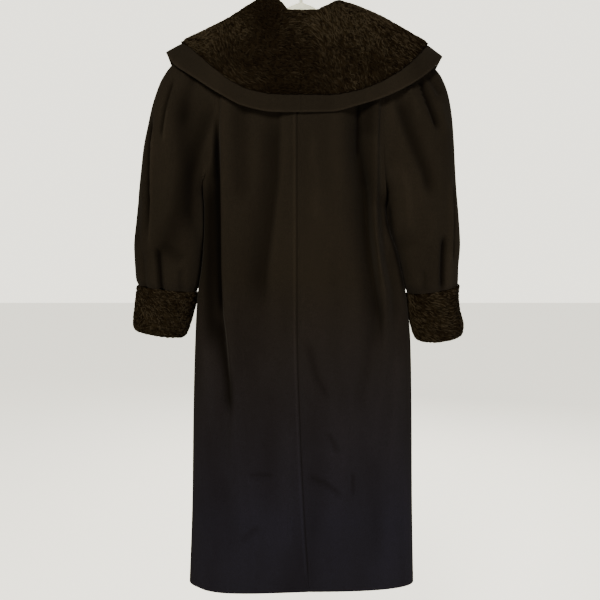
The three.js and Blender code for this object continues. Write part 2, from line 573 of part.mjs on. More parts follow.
for (const [name, hand] of Object.entries(SIDES)) {
  const lastRow = SLEEVE[name].length - 1;
  const settle = (normal, i, j) => {
    if (i === lastRow) return normal.setZ(0);
    if (i > 0) return normal;
    const part = ringParts[j];
    return Math.abs(part) === 1 ? normal.set(0, 0, -1) : armholeNormal(Math.abs(part), part < 0 ? 1 : -1);
  };
  addMesh(`sleeve_${name}`, wall(sleeveGrid(name), WOOL, -hand, { closed: true, settle }), WOOL_BLACK);
}

// ---- cuffs ----
for (const [name, hand] of Object.entries(SIDES)) {
  const grid = CUFF[name].map((ring) => {
    const row = [];
    for (let k = 0; k < CUFF_COLUMNS; k += 1) {
      const turn = (k / CUFF_COLUMNS) * 2 * Math.PI;
      row.push(ringPoint(ring, hand, ((1 - Math.cos(turn)) / 2) * (Math.sin(turn) < 0 ? -1 : 1), 0));
    }
    return row;
  });
  const settle = (normal, i) => (i === 0 || i === grid.length - 1 ? normal.setZ(0) : normal);
  addMesh(`cuff_${name}`, wall(grid, CUFF_FUR, -hand, { closed: true, settle }), FUR_BROWN);
}

// ---- collar ----
// Rows of the collar, counted in the stops of its profile: the neck seam (0), the stand (1),
// the roll (2), the first of the fall (3), its middle (4), the border (5) and the edge (6).
const BORDER = 5;
const FUR_ROWS = [0, 1, 1.6, 2, 2.4, 3, 3.5, 4, 4.5, BORDER];
const BAND_ROWS = [BORDER, 5.5, 6];
const FUR_AT_SEAM = [0.35, 0.8];   // the fur is this much thinner at the seam and the stand

// Underside of the collar at one station, from the neck seam over the roll to the edge.
function collarProfile(name, station) {
  const spot = (place) => new THREE.Vector3(...[0, 1, 2].map(
    (axis) => read(COLLAR[name], 'along', station, place, axis)));
  const [seam, roll, mid, border, edge] = ['seam', 'roll', 'mid', 'border', 'edge'].map(spot);
  const stand = seam.clone().lerp(roll, 0.6);
  const fall = roll.clone().lerp(mid, 0.14);
  fall.z += 0.04 * roll.distanceTo(mid);
  const outwards = new THREE.Vector3().subVectors(edge, border).normalize();
  const curve = new THREE.CatmullRomCurve3([seam, stand, roll, fall, mid, border]);
  return { curve, border, edge, outwards };
}

function collarGrid(name, profiles, rows) {
  const hand = SIDES[name];
  return rows.map((row) => profiles.map(({ curve, border, edge, outwards }, j) => {
    const point = row > BORDER ? border.clone().lerp(edge, row - BORDER) : curve.getPoint(row / BORDER);
    if (row === BORDER) {
      point.addScaledVector(outwards, (rows === BAND_ROWS ? 0.5 : -0.5) * SEAM_GAP);
    }
    if (j === 0) point.x += SEAM_GAP / 2;
    if (COLLAR_STATIONS[j] > SHOULDER) point.y -= underlap(name, point.x, point.z);
    return point.setX(hand * point.x);
  }));
}

// The two halves meet square at the centre back, and the fur and the band along the border.
function collarSettle(profiles, rows, hand) {
  return (normal, i, j) => {
    if (j === 0) normal.setX(0);
    if (rows[i] !== BORDER) return normal;
    const outwards = profiles[j].outwards.clone();
    outwards.x *= hand;
    return normal.addScaledVector(outwards, -normal.dot(outwards));
  };
}

for (const [name, hand] of Object.entries(SIDES)) {
  const profiles = COLLAR_STATIONS.map((station) => collarProfile(name, station));
  const furDepth = (i) => -FUR * (i < FUR_AT_SEAM.length ? FUR_AT_SEAM[i] : 1);
  const piece = (rows, depth) => wall(collarGrid(name, profiles, rows), depth, hand,
    { settle: collarSettle(profiles, rows, hand) });
  addMesh(`collar_fur_${name}`, piece(FUR_ROWS, furDepth), FUR_BROWN);
  addMesh(`collar_band_${name}`, piece(BAND_ROWS, -WOOL), WOOL_BLACK);
}

// ---- buttons ----
const buttonProfile = [
  [0, 0], [BUTTON_RADIUS - 1, 0], [BUTTON_RADIUS, 1], [BUTTON_RADIUS, BUTTON_THICKNESS - 1.5],
  [BUTTON_RADIUS - 1.5, BUTTON_THICKNESS], [BUTTON_RADIUS - 4, BUTTON_THICKNESS - 0.5],
  [0, BUTTON_THICKNESS - 1],
].map(([radius, height]) => new THREE.Vector2(radius, height));
BUTTON_LEVELS.forEach((level, n) => {
  const geometry = new THREE.LatheGeometry(buttonProfile, 20);
  const cloth = read(DEPTH, 'z', level, 'mid') + FRONT_DEPTH * read(DEPTH, 'z', level, 'part');
  geometry.translate(0, cloth + SEAM_GAP, 0);
  const button = new THREE.Mesh(geometry, HORN);
  button.name = `button_${n + 1}`;
  button.position.z = level;
  coat.add(button);
});

// ---- hanger ----
const wasm = await Module();
wasm.setup();

function solidOf(geometry) {
  const bare = new THREE.BufferGeometry();
  bare.setAttribute('position', geometry.attributes.position);
  if (geometry.index) bare.setIndex(geometry.index);
  const merged = mergeVertices(bare, 1e-4);
  const corners = merged.attributes.position.array;
  return new wasm.Manifold(new wasm.Mesh({
    numProp: 3, vertProperties: corners, triVerts: merged.index.array,
  }));
}

function geometryOf(solid) {
  const mesh = solid.getMesh();
  const geometry = new THREE.BufferGeometry();
  geometry.setAttribute('position', new THREE.BufferAttribute(mesh.vertProperties, 3));
  geometry.setIndex(new THREE.BufferAttribute(mesh.triVerts, 1));
  return geometry;
}

function sweep(section, curveSegments, points, steps) {
  const extrudePath = new THREE.CatmullRomCurve3(points);
  return new THREE.ExtrudeGeometry(section, { steps, curveSegments, extrudePath, bevelEnabled: false });
}

function roundedRectangle(width, height, corner) {
  const shape = new THREE.Shape();
  const [w, h] = [width / 2 - corner, height / 2 - corner];
  [[w, h], [-w, h], [-w, -h], [w, -h]].forEach(([x, y], turn) => {
    shape.absarc(x, y, corner, (turn * Math.PI) / 2, ((turn + 1) * Math.PI) / 2, false);
  });
  return shape;
}

// The middle of an arm at x from the peak.
function armPoint(x) {
  const slant = Math.hypot(1, ARM_SLOPE);
  const drop = ARM_SLOPE * Math.hypot(x, ARM_PEAK);
  return new THREE.Vector3(x, 0, ARM_TOP - (ARM_HEIGHT / 2) * slant - drop);
}

const armPoints = [];
for (let x = -ARM_REACH; x <= ARM_REACH; x += ARM_REACH / 12) armPoints.push(armPoint(x));
const arms = sweep(roundedRectangle(ARM_THICKNESS, ARM_HEIGHT, ARM_CORNER), 1, armPoints, 24);

const hookCentre = HOOK_WIRE / 2 - HOOK_BEND;
const hookPoints = [[0, ARM_TOP - ARM_HEIGHT / 2], [0, ARM_TOP + 4], [2, ARM_TOP + 13]];
for (let turn = HOOK_FROM; turn <= HOOK_TO; turn += 14) {
  const angle = THREE.MathUtils.degToRad(turn);
  hookPoints.push([HOOK_BEND * Math.cos(angle), hookCentre + HOOK_BEND * Math.sin(angle)]);
}
const wire = new THREE.Shape().absarc(0, 0, HOOK_WIRE / 2, 0, 2 * Math.PI, false);
const hook = sweep(wire, 5, hookPoints.map(([x, z]) => new THREE.Vector3(x, 0, z)), 32);
addMesh('hanger', geometryOf(solidOf(arms).add(solidOf(hook))), PLASTIC);

export default coat;
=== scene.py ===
# %% [markdown]
# # A long wool coat with a fur shawl collar, on a hanger
# The coat hangs still, seen from behind. Its makers cut it from a heavy felted wool and sewed
# on a broad collar and deep cuffs of curly lamb. This lesson dresses the plain solids of the
# frame: each panel is built again as a fine sheet on the same named sections, so that its
# folds, seams and pile are real geometry and not only paint.

import math

import bpy
import numpy as np
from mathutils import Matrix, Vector


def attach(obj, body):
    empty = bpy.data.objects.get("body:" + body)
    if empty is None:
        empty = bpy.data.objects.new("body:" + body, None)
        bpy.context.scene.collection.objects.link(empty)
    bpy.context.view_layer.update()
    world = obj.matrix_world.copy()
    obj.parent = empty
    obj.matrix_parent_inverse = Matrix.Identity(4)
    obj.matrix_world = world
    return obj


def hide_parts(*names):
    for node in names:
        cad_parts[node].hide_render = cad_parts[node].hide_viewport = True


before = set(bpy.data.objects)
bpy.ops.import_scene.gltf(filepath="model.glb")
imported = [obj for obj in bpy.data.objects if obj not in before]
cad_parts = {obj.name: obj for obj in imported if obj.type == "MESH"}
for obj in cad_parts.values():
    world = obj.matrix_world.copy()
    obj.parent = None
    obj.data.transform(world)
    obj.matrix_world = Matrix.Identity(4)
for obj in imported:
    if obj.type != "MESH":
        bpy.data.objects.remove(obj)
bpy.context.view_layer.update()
MM = 0.001

# %% [markdown]
# ## Nodes in few words
# Floor, sky and finishes all need shader nodes, so a few helpers write them shortly. "node"
# adds any node to a tree. The others each add one of a kind that is used often, and return the
# socket that the next node takes.

# %% Node helpers
SOCKET_KINDS = {
    "Place": "Vector", "Normal": "Vector", "Color": "Color", "Dark": "Color", "Light": "Color",
    "Faded": "Color",
}


def node(tree, kind, settings=None, **sockets):
    """A node with its settings, whose sockets take values or come from other sockets."""
    made = tree.nodes.new(kind)
    for key, value in (settings or {}).items():
        setattr(made, key, value)
    for key, value in sockets.items():
        socket = made.inputs[int(key[1:]) if key[0] == "_" else key.replace("_", " ")]
        if isinstance(value, bpy.types.NodeSocket):
            tree.links.new(value, socket)
        else:
            socket.default_value = value
    return made


def noise(tree, place, scale, **sockets):
    made = node(tree, "ShaderNodeTexNoise", Vector=place, Scale=scale, **sockets)
    return made.outputs["Fac"]


def ramp(tree, value, start, end, low=0.0, high=1.0):
    """Runs from low to high while the value runs from start to end, and stays there."""
    made = node(tree, "ShaderNodeMapRange", Value=value, From_Min=start, From_Max=end,
                To_Min=low, To_Max=high)
    return made.outputs[0]


def times(tree, first, second):
    return node(tree, "ShaderNodeMath", {"operation": "MULTIPLY"}, _0=first, _1=second).outputs[0]


def blend(tree, part, first, second):
    """A colour between two, by a part from 0 to 1."""
    made = node(tree, "ShaderNodeMix", {"data_type": "RGBA"}, _0=part, _6=first, _7=second)
    return made.outputs[2]


def bump(tree, strength, distance, height):
    made = node(tree, "ShaderNodeBump", Strength=strength, Distance=distance, Height=height)
    return made.outputs[0]


def coordinate(tree, which, scale=None):
    """Places on the object or on its flat map, stretched by a scale if there is one."""
    place = node(tree, "ShaderNodeTexCoord").outputs[which]
    return node(tree, "ShaderNodeMapping", Vector=place, Scale=scale).outputs[0] if scale else place


def new_group(name, inputs, outputs):
    """An empty group, its input sockets and its output node. Sockets are numbers unless
    SOCKET_KINDS says otherwise."""
    group = bpy.data.node_groups.new(name, "ShaderNodeTree")
    for names, way in ((inputs, "INPUT"), (outputs, "OUTPUT")):
        for socket in names.split():
            kind = "NodeSocket" + SOCKET_KINDS.get(socket, "Float")
            group.interface.new_socket(name=socket, in_out=way, socket_type=kind)
    return group, group.nodes.new("NodeGroupInput").outputs, group.nodes.new("NodeGroupOutput")


def fill_group(group, result, **sockets):
    for name, socket in sockets.items():
        group.links.new(socket, result.inputs[name])
    print("group:", group.name, "nodes:", len(group.nodes))


# %% [markdown]
# ## Camera, floor and light
# A hanging garment is looked at from chest height with a normal lens, tilted slightly down.
# The camera stands behind the coat, and the distance is kept short enough for the sleeves
# and the hem to spread as they do for the eye. The floor is pale and plain, and three soft
# lamps and an even sky leave no hard shadow, so that black wool still shows its folds.

# %% Camera
CAMERA_DISTANCE = 1.275         # metres behind the coat's mid plane
CAMERA_LEVEL = -0.5656          # below the hook
SIDESTEP = -0.0021
CAMERA_TILT = math.radians(4.62)
LENS = 36.8

camera_data = bpy.data.cameras.new("camera")
camera_data.lens = LENS
camera_data.sensor_width = 36
camera_data.clip_start = 0.05
camera = bpy.data.objects.new("camera", camera_data)
bpy.context.scene.collection.objects.link(camera)
camera.location = (SIDESTEP, -CAMERA_DISTANCE, CAMERA_LEVEL)
camera.rotation_euler = (math.pi / 2 - CAMERA_TILT, 0, 0)
bpy.context.scene.camera = camera

# %% Floor, sky and lamps
FLOOR_LEVEL = -1.70
FLOOR_SIZE = 24
PALE = (0.86, 0.83, 0.72)
SKY_SEEN, SKY_LIGHT = 3.0, 0.30     # a pale wall behind, but less light from all round
FLOOR_SEEN = 1.8                    # lifts the far floor, which lies beyond the lamps


def light_for_the_eye(tree, strength, elsewhere, seen):
    """Gives a strength one value for what the camera sees and another for what it lights."""
    to_the_eye = node(tree, "ShaderNodeLightPath").outputs["Is Camera Ray"]
    tree.links.new(ramp(tree, to_the_eye, 0, 1, elsewhere, seen), strength)


def soft_lamp(name, place, aim, size, power, colour):
    """A square area lamp that looks at a point."""
    data = bpy.data.lights.new(name, "AREA")
    data.size = size
    data.energy = power
    data.color = colour
    lamp = bpy.data.objects.new(name, data)
    lamp.location = place
    lamp.rotation_euler = (Vector(aim) - Vector(place)).to_track_quat("-Z", "Y").to_euler()
    bpy.context.scene.collection.objects.link(lamp)


pale_floor = bpy.data.materials.new("pale_floor")
pale_floor.use_nodes = True
shader = pale_floor.node_tree.nodes["Principled BSDF"]
shader.inputs["Base Color"].default_value = (*PALE, 1)
shader.inputs["Roughness"].default_value = 0.9
shader.inputs["Emission Color"].default_value = (*PALE, 1)
light_for_the_eye(pale_floor.node_tree, shader.inputs["Emission Strength"], 0, FLOOR_SEEN)
bpy.ops.mesh.primitive_plane_add(size=FLOOR_SIZE, location=(0, 0, FLOOR_LEVEL))
floor = bpy.context.object
floor.name = "floor"
floor.data.materials.append(pale_floor)

sky = bpy.data.worlds.new("sky")
sky.use_nodes = True
background = sky.node_tree.nodes["Background"]
background.inputs["Color"].default_value = (*PALE, 1)
light_for_the_eye(sky.node_tree, background.inputs["Strength"], SKY_LIGHT, SKY_SEEN)
bpy.context.scene.world = sky

MIDDLE = (0, 0, -0.6)
soft_lamp("key", (-0.75, -2.3, 0.75), MIDDLE, 0.8, 116, (1.0, 0.97, 0.92))
soft_lamp("low", (1.15, -1.5, -0.95), (0.12, 0, -0.82), 0.9, 23, (0.88, 0.89, 1.0))
soft_lamp("front", (0.6, 2.4, 0.6), MIDDLE, 1.2, 110, (1.0, 0.98, 0.95))
lamps = [thing.name for thing in bpy.context.scene.objects if thing.type == "LIGHT"]
print("camera", camera.location[:], "lens", LENS, "lamps", lamps)

# %% [markdown]
# ## Tables that describe the cut
# A pattern maker writes a garment as sizes at named levels. Here a table has one row for each
# level, and a smooth curve reads between the rows. The curve must never overshoot, or a seam
# would cross its neighbour, so its slopes are the harmonic means of the slopes beside them.

# %% Read a table smoothly
def table(columns, rows):
    """Rows of numbers as one array for each named column."""
    return {name: np.array(column, float) for name, column in zip(columns.split(), zip(*rows))}


def read(rows, column, place, key="z"):
    """Smooth value of a column where the key column passes a place."""
    knots, values = rows[key], rows[column]
    if knots[-1] < knots[0]:
        knots, values = knots[::-1], values[::-1]
    slopes = np.diff(values) / np.diff(knots)
    product, total = slopes[:-1] * slopes[1:], slopes[:-1] + slopes[1:]
    inner = np.where(product > 0, 2 * product / np.where(total == 0, 1, total), 0)
    tangents = np.concatenate([slopes[:1], inner, slopes[-1:]])
    place = np.asarray(place, float)
    i = np.clip(np.searchsorted(knots, place) - 1, 0, len(slopes) - 1)
    span = knots[i + 1] - knots[i]
    t = np.clip((place - knots[i]) / span, 0, 1)
    rise = span * (tangents[i] * t * (1 - t) ** 2 - tangents[i + 1] * t * t * (1 - t))
    return values[i] + (values[i + 1] - values[i]) * t * t * (3 - 2 * t) + rise


def fade(t):
    """Runs softly from 0 to 1 while t does, and stays there."""
    t = np.clip(t, 0, 1)
    return t * t * (3 - 2 * t)


def mix(a, b, t):
    return a + (b - a) * t


# %% [markdown]
# ## Sizes of the coat
# Millimetres, the same named sections as the solids: the levels of the body with its soft
# folds, the seam down the back, the depth from the mid plane, and what one front laps over.

# %% Body sizes
HANDS = {"left": -1, "right": 1}
WOOL = 3                        # thickness of the cloth
TIGHT_SEAM = -0.01              # sewn edges press together, so no light shows between them
HEM = -1267
BACK_DEPTH, FRONT_DEPTH = 61, 57    # of the body's sections, before and behind the mid plane
SECTION_POWER = 2.7             # 2 makes a section an ellipse, and more makes it squarer
LAP = 35                        # how far a front reaches past the middle
NECK_HALF = 72
UNDERARM = -430
UNDERARM_BLEND = 50             # below the underarm the sections close over this height
SHOULDER_CAP = 0.35             # part of the armhole's height in which the shoulder rounds over
SHOULDER_TOP, SHOULDER_SLOPE, SHOULDER_OUT = -62, 0.507, 200
ARMHOLE_REACH, ARMHOLE_SPARE = 205, 7

BODY_COLUMNS = "z side trough trough_in inner inner_in ridge ridge_in valley valley_in"
BODY = {
    "left": table(BODY_COLUMNS, [
        (-165, 200, NECK_HALF, 0, 112, 0, 158, 0, 180, 0),
        (-215, 177, 58, 3, 112, 1, 152, -1, 163, 0),
        (-285, 170, 55, 6, 116, 5, 156, -4, 163, 1),
        (-345, 174, 52, 8, 118, 7, 158, -6, 165, 5),
        (-400, 186, 49, 9, 120, 7, 158, -7, 166, 16),
        (-430, 198, 49, 9, 120, 6, 158, -7, 167, 26),
        (-500, 198.5, 54, 8, 120, 5, 158, -7, 167, 30),
        (-583, 203.5, 64, 7, 120, 4, 158, -7, 167, 30),
        (-669, 215.5, 74, 6, 116, 4, 155, -6, 167, 26),
        (-764, 221, 76, 4, 112, 3, 144, -5, 160, 14),
        (-890, 225.5, 76, 1, 110, 1, 136, -2, 158, 3),
        (-1098, 230.5, 78, 0, 116, 0, 148, 0, 172, 0),
        (HEM, 238, 80, 0, 122, 0, 156, 0, 182, 0),
    ]),
    "right": table(BODY_COLUMNS, [
        (-165, 197, NECK_HALF, 0, 105, 0, 150, 0, 176, 0),
        (-215, 173, 66, -1, 110, 5, 146, -2, 160, 0),
        (-285, 165, 72, -3, 114, 10, 150, -5, 158, 1),
        (-345, 163, 73, -3, 116, 13, 149, -7, 155, 1),
        (-400, 165, 73, -3, 117, 14, 148, -8, 156, 3),
        (-430, 168, 73, -2, 122, 14, 148, -8, 157, 6),
        (-512, 179.5, 72, -1, 130, 14, 149, -8, 164, 14),
        (-575, 201, 72, 0, 140, 14, 154, -8, 172, 16),
        (-669, 219.5, 76, 0, 150, 10, 170, -5, 190, 10),
        (-764, 228.5, 84, 0, 146, 4, 172, -2, 192, 2),
        (-890, 232, 86, 0, 136, 1, 168, 0, 190, 0),
        (-1098, 235.5, 86, 0, 132, 0, 166, 0, 190, 0),
        (HEM, 240, 90, 0, 134, 0, 168, 0, 194, 0),
    ]),
}
CENTRE_SEAM = table("z x", [(-110, -8), (-700, -8), (-950, -1), (-1130, 8), (HEM, 17)])
DEPTH = table("z mid part", [(-160, 0, 1), (-700, -2, 1), (-1000, -7, 0.95), (HEM, -12, 0.86)])
UNDERLAP = table("z push", [
    (-150, 0), (-210, 6), (-260, 20), (-445, 20), (-540, 6), (HEM, 4.5),
])
UNDERLAP_REACH = 130
HEM_SAG = table("x drop", [
    (-238, 0), (-215, 2.5), (-196, 5.8), (-165, 7), (-115, 5.6), (-50, 2.7), (17, 0),
])
SAG_FROM = -1100
print("body levels:", {side: len(rows["z"]) for side, rows in BODY.items()}, "hem:", HEM)

# %% Collar sizes
# Along counts from the centre back (0) over the shoulder (6) to the end of the lapel (13).
COLLAR_COLUMNS = (
    "along seam_x seam_y seam_z roll_x roll_y roll_z mid_x mid_y mid_z "
    "border_x border_y border_z edge_x edge_y edge_z"
)
LAPEL = [
    (8, 65, 21, -105, 64, 23, -79, 134, 39, -148, 198, 50, -222, 230, 53, -250),
    (9, 57, 36, -121, 56, 40, -100, 111, 51, -182, 164, 55, -270, 190, 58, -300),
    (10, 45, 48, -152, 45, 54, -139, 84, 57.5, -226, 122, 57, -314, 143, 57, -346),
    (11, 28, 55.5, -202, 30, 60.5, -193, 53, 59.5, -274, 76, 59, -354, 92, 59, -388),
    (12, 2, 57, -282, 5, 62, -276, 18, 60.5, -332, 32, 60, -386, 40, 60, -420),
    (13, -LAP, 57, -385, -LAP, 62, -381, -LAP, 61, -394, -LAP, 60.5, -408, -LAP, 60.5, -442),
]
COLLAR = {
    "left": table(COLLAR_COLUMNS, [
        (0, 0, -44, -121, 0, -46, -109, 0, -63.5, -192, 0, -65.5, -266, 0, -66.5, -300),
        (1, 26, -42, -118, 24, -44, -107, 42, -63, -186, 48, -65.5, -265.5, 52, -66.5, -299.5),
        (2, 48, -34, -110, 43, -36, -88, 78, -60, -170, 98, -64.5, -257, 108, -65.5, -289),
        (3, 62, -21, -103, 58, -22, -75, 108, -51, -148, 142, -61.5, -234.5, 160, -63, -263),
        (4, 69.5, -10, -99.5, 66, -11, -70, 131, -36, -128, 180, -52, -203.5, 206, -54.5, -233),
        (5, 71.7, -4, -98.6, 68.5, -4, -68.5, 145, -17, -116, 217, -30, -169, 251, -34, -200),
        (6, 71.7, 0, -98.5, 69, 0, -68.5, 149, 0, -110.5, 238.5, -2, -153, 271, -3, -170.5),
        (7, 70, 9, -100, 68, 10, -70.5, 147, 18, -118, 229, 26, -170, 261, 29, -202),
    ] + LAPEL),
    "right": table(COLLAR_COLUMNS, [
        (0, 0, -44, -121, 0, -46, -109, 0, -63.5, -192, 0, -65.5, -266, 0, -66.5, -300),
        (1, 26, -42, -118, 26, -44.5, -108, 44, -63, -186, 55, -65.5, -266.5, 57, -66.5, -299),
        (2, 48, -34, -110, 50, -37, -97, 82, -60, -170, 104, -64.5, -259, 112, -65.5, -286),
        (3, 62, -21, -103, 67, -25, -84.5, 114, -50, -146, 152, -62, -242, 165, -63.5, -269),
        (4, 69.5, -10, -99.5, 74, -13, -79, 137, -35, -121, 200, -53, -212, 226, -56, -237),
        (5, 71.7, -4, -98.6, 77, -5, -78, 146, -17, -106, 238.5, -28, -173.5, 267, -34, -202),
        (6, 71.7, 0, -98.5, 78, 0, -78, 149.5, 0, -100.5, 252, -2, -155.5, 283.5, -3, -179),
        (7, 70, 9, -100, 74, 10, -78, 148, 18, -109, 240.5, 26, -175.5, 271.5, 29, -206),
    ] + LAPEL),
}
SHOULDER, LAPEL_END = 6, 13     # stations along the collar
FUR = 9                         # from the leather to the tips of the curls
print("collar stations:", {side: len(rows["along"]) for side, rows in COLLAR.items()})

# %% [markdown]
# ## Cloth as a wall between two grids
# Every piece of this coat is a grid of points: rows down the piece and columns across it.
# The wall of the cloth is that grid and its copy, moved inwards by the thickness, with a rim
# between them. Building from grids keeps the threads of the mesh running with the cloth, so
# seams, pleats and stitches can be placed by row and column.

# %% Grids to meshes
def unit(vectors):
    return vectors / np.maximum(np.linalg.norm(vectors, axis=-1, keepdims=True), 1e-9)


def grid_steps(grid, closed):
    """Steps from each point of a grid to the next, down the rows and across the columns."""
    if closed:
        across = (np.roll(grid, -1, axis=1) - np.roll(grid, 1, axis=1)) / 2
    else:
        across = np.gradient(grid, axis=1)
    return np.gradient(grid, axis=0), across


def normals_of(grid, turn, closed=False):
    """Normals of a grid of points; turn is 1 or -1 and says which side is out."""
    return unit(turn * np.cross(*grid_steps(grid, closed)))


def wall_faces(rows, columns, closed):
    """Corner numbers of the quads of a wall with an outer grid, an inner grid and a rim."""
    number = np.arange(rows * columns).reshape(rows, columns)
    if closed:
        number = np.concatenate([number, number[:, :1]], axis=1)
    outer, inner = number, number + rows * columns
    sheet = [number[:-1, :-1], number[1:, :-1], number[1:, 1:], number[:-1, 1:]]
    faces = [np.stack(sheet, -1), np.stack(sheet[::-1], -1) + rows * columns]
    borders = [(outer[0], inner[0], 1), (outer[-1], inner[-1], -1)]
    if not closed:
        borders += [(outer[:, 0], inner[:, 0], -1), (outer[:, -1], inner[:, -1], 1)]
    for near, far, sense in borders:
        rim = np.stack([near[:-1], near[1:], far[1:], far[:-1]][::sense], -1)
        faces.append(rim)
    return np.concatenate([face.reshape(-1, 4) for face in faces])


def mesh_piece(name, points, faces, material):
    """A piece from points in millimetres. Its faces are turned so that the volume is positive."""
    points = np.asarray(points, float).reshape(-1, 3)
    faces = np.asarray(faces)
    a, b, c = (points[faces[:, k]] for k in range(3))
    d = points[faces[:, -1]]
    volume = (a * np.cross(b, c)).sum() + (a * np.cross(c, d)).sum()
    if volume < 0:
        faces = faces[:, ::-1]
    mesh = bpy.data.meshes.new(name)
    mesh.vertices.add(len(points))
    mesh.vertices.foreach_set("co", (points * MM).ravel())
    size = faces.shape[1]
    mesh.loops.add(faces.size)
    mesh.loops.foreach_set("vertex_index", faces.ravel())
    mesh.polygons.add(len(faces))
    mesh.polygons.foreach_set("loop_start", np.arange(0, faces.size, size))
    mesh.polygons.foreach_set("use_smooth", np.ones(len(faces), bool))
    mesh.update(calc_edges=True)
    mesh.validate()
    piece = bpy.data.objects.new(name, mesh)
    bpy.context.scene.collection.objects.link(piece)
    mesh.materials.append(material)
    return piece


def give_shade(piece, values):
    """One value for each point, which the finishes read as "shade": painted shade and painted
    highlights, and on the band and the fur their own tone as well.
    """
    attribute = piece.data.attributes.new("shade", "FLOAT", "POINT")
    attribute.data.foreach_set("value", np.ascontiguousarray(values, float).ravel())


def give_uv(piece, places):
    """A flat map of the mesh, from one place for each point."""
    mesh = piece.data
    corners = np.empty(len(mesh.loops), int)
    mesh.loops.foreach_get("vertex_index", corners)
    layer = mesh.uv_layers.new(name="hair")
    layer.data.foreach_set("uv", places.reshape(-1, 2)[corners].ravel())


def wall_piece(name, outer, inner, material, closed=False):
    """The wall between two grids of the same size."""
    rows, columns = outer.shape[:2]
    points = np.concatenate([outer.reshape(-1, 3), inner.reshape(-1, 3)])
    return mesh_piece(name, points, wall_faces(rows, columns, closed), material)


# %% Smooth wandering without repeats
def wander(seed, scale, *axes):
    """A smooth uneven field from about -1 to 1, made of waves about one scale long."""
    rng = np.random.default_rng(seed)
    waves = 9
    total = np.zeros(np.broadcast(*axes).shape)
    for _ in range(waves):
        direction = rng.normal(size=len(axes))
        direction /= np.linalg.norm(direction)
        pitch = 2 * math.pi / (scale * rng.uniform(0.7, 1.6))
        place = sum(part * axis for part, axis in zip(direction, axes))
        total += np.sin(pitch * place + rng.uniform(0, 2 * math.pi))
    return total / math.sqrt(waves / 2) / 1.6


# %% [markdown]
# ## Finishes
# Three effects are node groups. "nap" is the fine felt of a milled wool: a fibre noise that
# lifts the surface and mottles the dye, over slow patches that hang down the cloth. Towards the
# hem the dye turns cooler, a painted cool light. Where the mesh's shade is high, in creases,
# seams and shaded places, the dye is painted darker, a painted shade, and below zero it is
# painted paler, a painted highlight. "strands" is hair: a noise drawn out along one direction,
# which roughens a curl and pales it in streaks by its tone and painted highlights. "cast"
# is the streaks and the light wear of a moulded or polished thing. The shader itself stays in
# each material, with the values that are the same all over.

# %% The nap of felted wool
COOL_FROM, COOL_FULL = -0.62, -1.12         # from here down the dye takes on a painted cool light, until it is all the cooler colour

nap, given, result = new_group(
    "nap", "Place Dark Light Fibres Lift Hollow Faded", "Color Roughness Normal")
fibres = noise(nap, given["Place"], given["Fibres"], Detail=4, Roughness=0.7)
hanging = node(nap, "ShaderNodeMapping", Vector=given["Place"], Scale=(1.0, 1.0, 0.22))
patches = noise(nap, hanging.outputs[0], 13, Detail=3)
worn = times(nap, fibres, ramp(nap, patches, 0.3, 0.7, 0.86, 1.12))
# the dye turns to the cooler colour towards the hem, a painted cool light
level = node(nap, "ShaderNodeSeparateXYZ", Vector=given["Place"]).outputs["Z"]
dye_with_cool_light = blend(nap, ramp(nap, level, COOL_FROM, COOL_FULL), given["Light"], given["Faded"])
# painted shade: a high shade value darkens the dye, and a negative one paints a highlight
painted_shading = ramp(nap, given["Hollow"], -0.6, 1.4, 1.3, 0.03)
mottle_and_painted_shading = times(nap, ramp(nap, worn, 0.22, 0.80), painted_shading)
fill_group(
    nap, result, Color=blend(nap, mottle_and_painted_shading, given["Dark"], dye_with_cool_light),
    Roughness=ramp(nap, patches, 0, 1, 0.82, 1.0), Normal=bump(nap, given["Lift"], 0.0006, fibres),
)

# %% The strands of curly hair
strands, given, result = new_group("strands", "Place Shade Dark Light Lift", "Color Normal")
hairs = noise(strands, given["Place"], 1, Detail=3, Roughness=0.6)
pale = ramp(strands, times(strands, hairs, given["Shade"]), 0.05, 0.6)
fill_group(
    strands, result, Color=blend(strands, pale, given["Dark"], given["Light"]),
    Normal=bump(strands, given["Lift"], 0.0005, hairs),
)

# %% The streaks of a moulded or polished thing
cast, given, result = new_group("cast", "Place Dark Light Streaks Worn", "Color Roughness Normal")
flow = noise(cast, given["Place"], given["Streaks"], Detail=4, Distortion=1.2)
grit = noise(cast, given["Place"], 900, Detail=2)
rubbed = node(cast, "ShaderNodeMath", {"operation": "MULTIPLY_ADD"}, _0=grit, _1=0.25,
              _2=given["Worn"])
fill_group(
    cast, result, Roughness=rubbed.outputs[0], Normal=bump(cast, 0.12, 0.0004, grit),
    Color=blend(cast, ramp(cast, flow, 0.35, 0.65), given["Dark"], given["Light"]),
)


# %% The materials
def shade_of(tree):
    return node(tree, "ShaderNodeAttribute", {"attribute_name": "shade"}).outputs["Fac"]


def finish_with(name, group, place, dark, light, constants, **values):
    """A Principled material. Its uneven values come from a shared group, and its constants are
    set on the shader. The place and some of the group's values are read from the mesh."""
    material = bpy.data.materials.new(name)
    material.use_nodes = True
    tree = material.node_tree
    shader = tree.nodes["Principled BSDF"]
    wires = {key: value(tree) if callable(value) else value for key, value in values.items()}
    wires.update(Place=coordinate(tree, *place), Dark=(*dark, 1), Light=(*light, 1))
    effect = node(tree, "ShaderNodeGroup", {"node_tree": group}, **wires)
    for socket in effect.outputs:
        where = {"Color": "Base Color"}.get(socket.name, socket.name)
        tree.links.new(socket, shader.inputs[where])
    for socket, value in constants.items():
        shader.inputs[socket].default_value = value
    return material
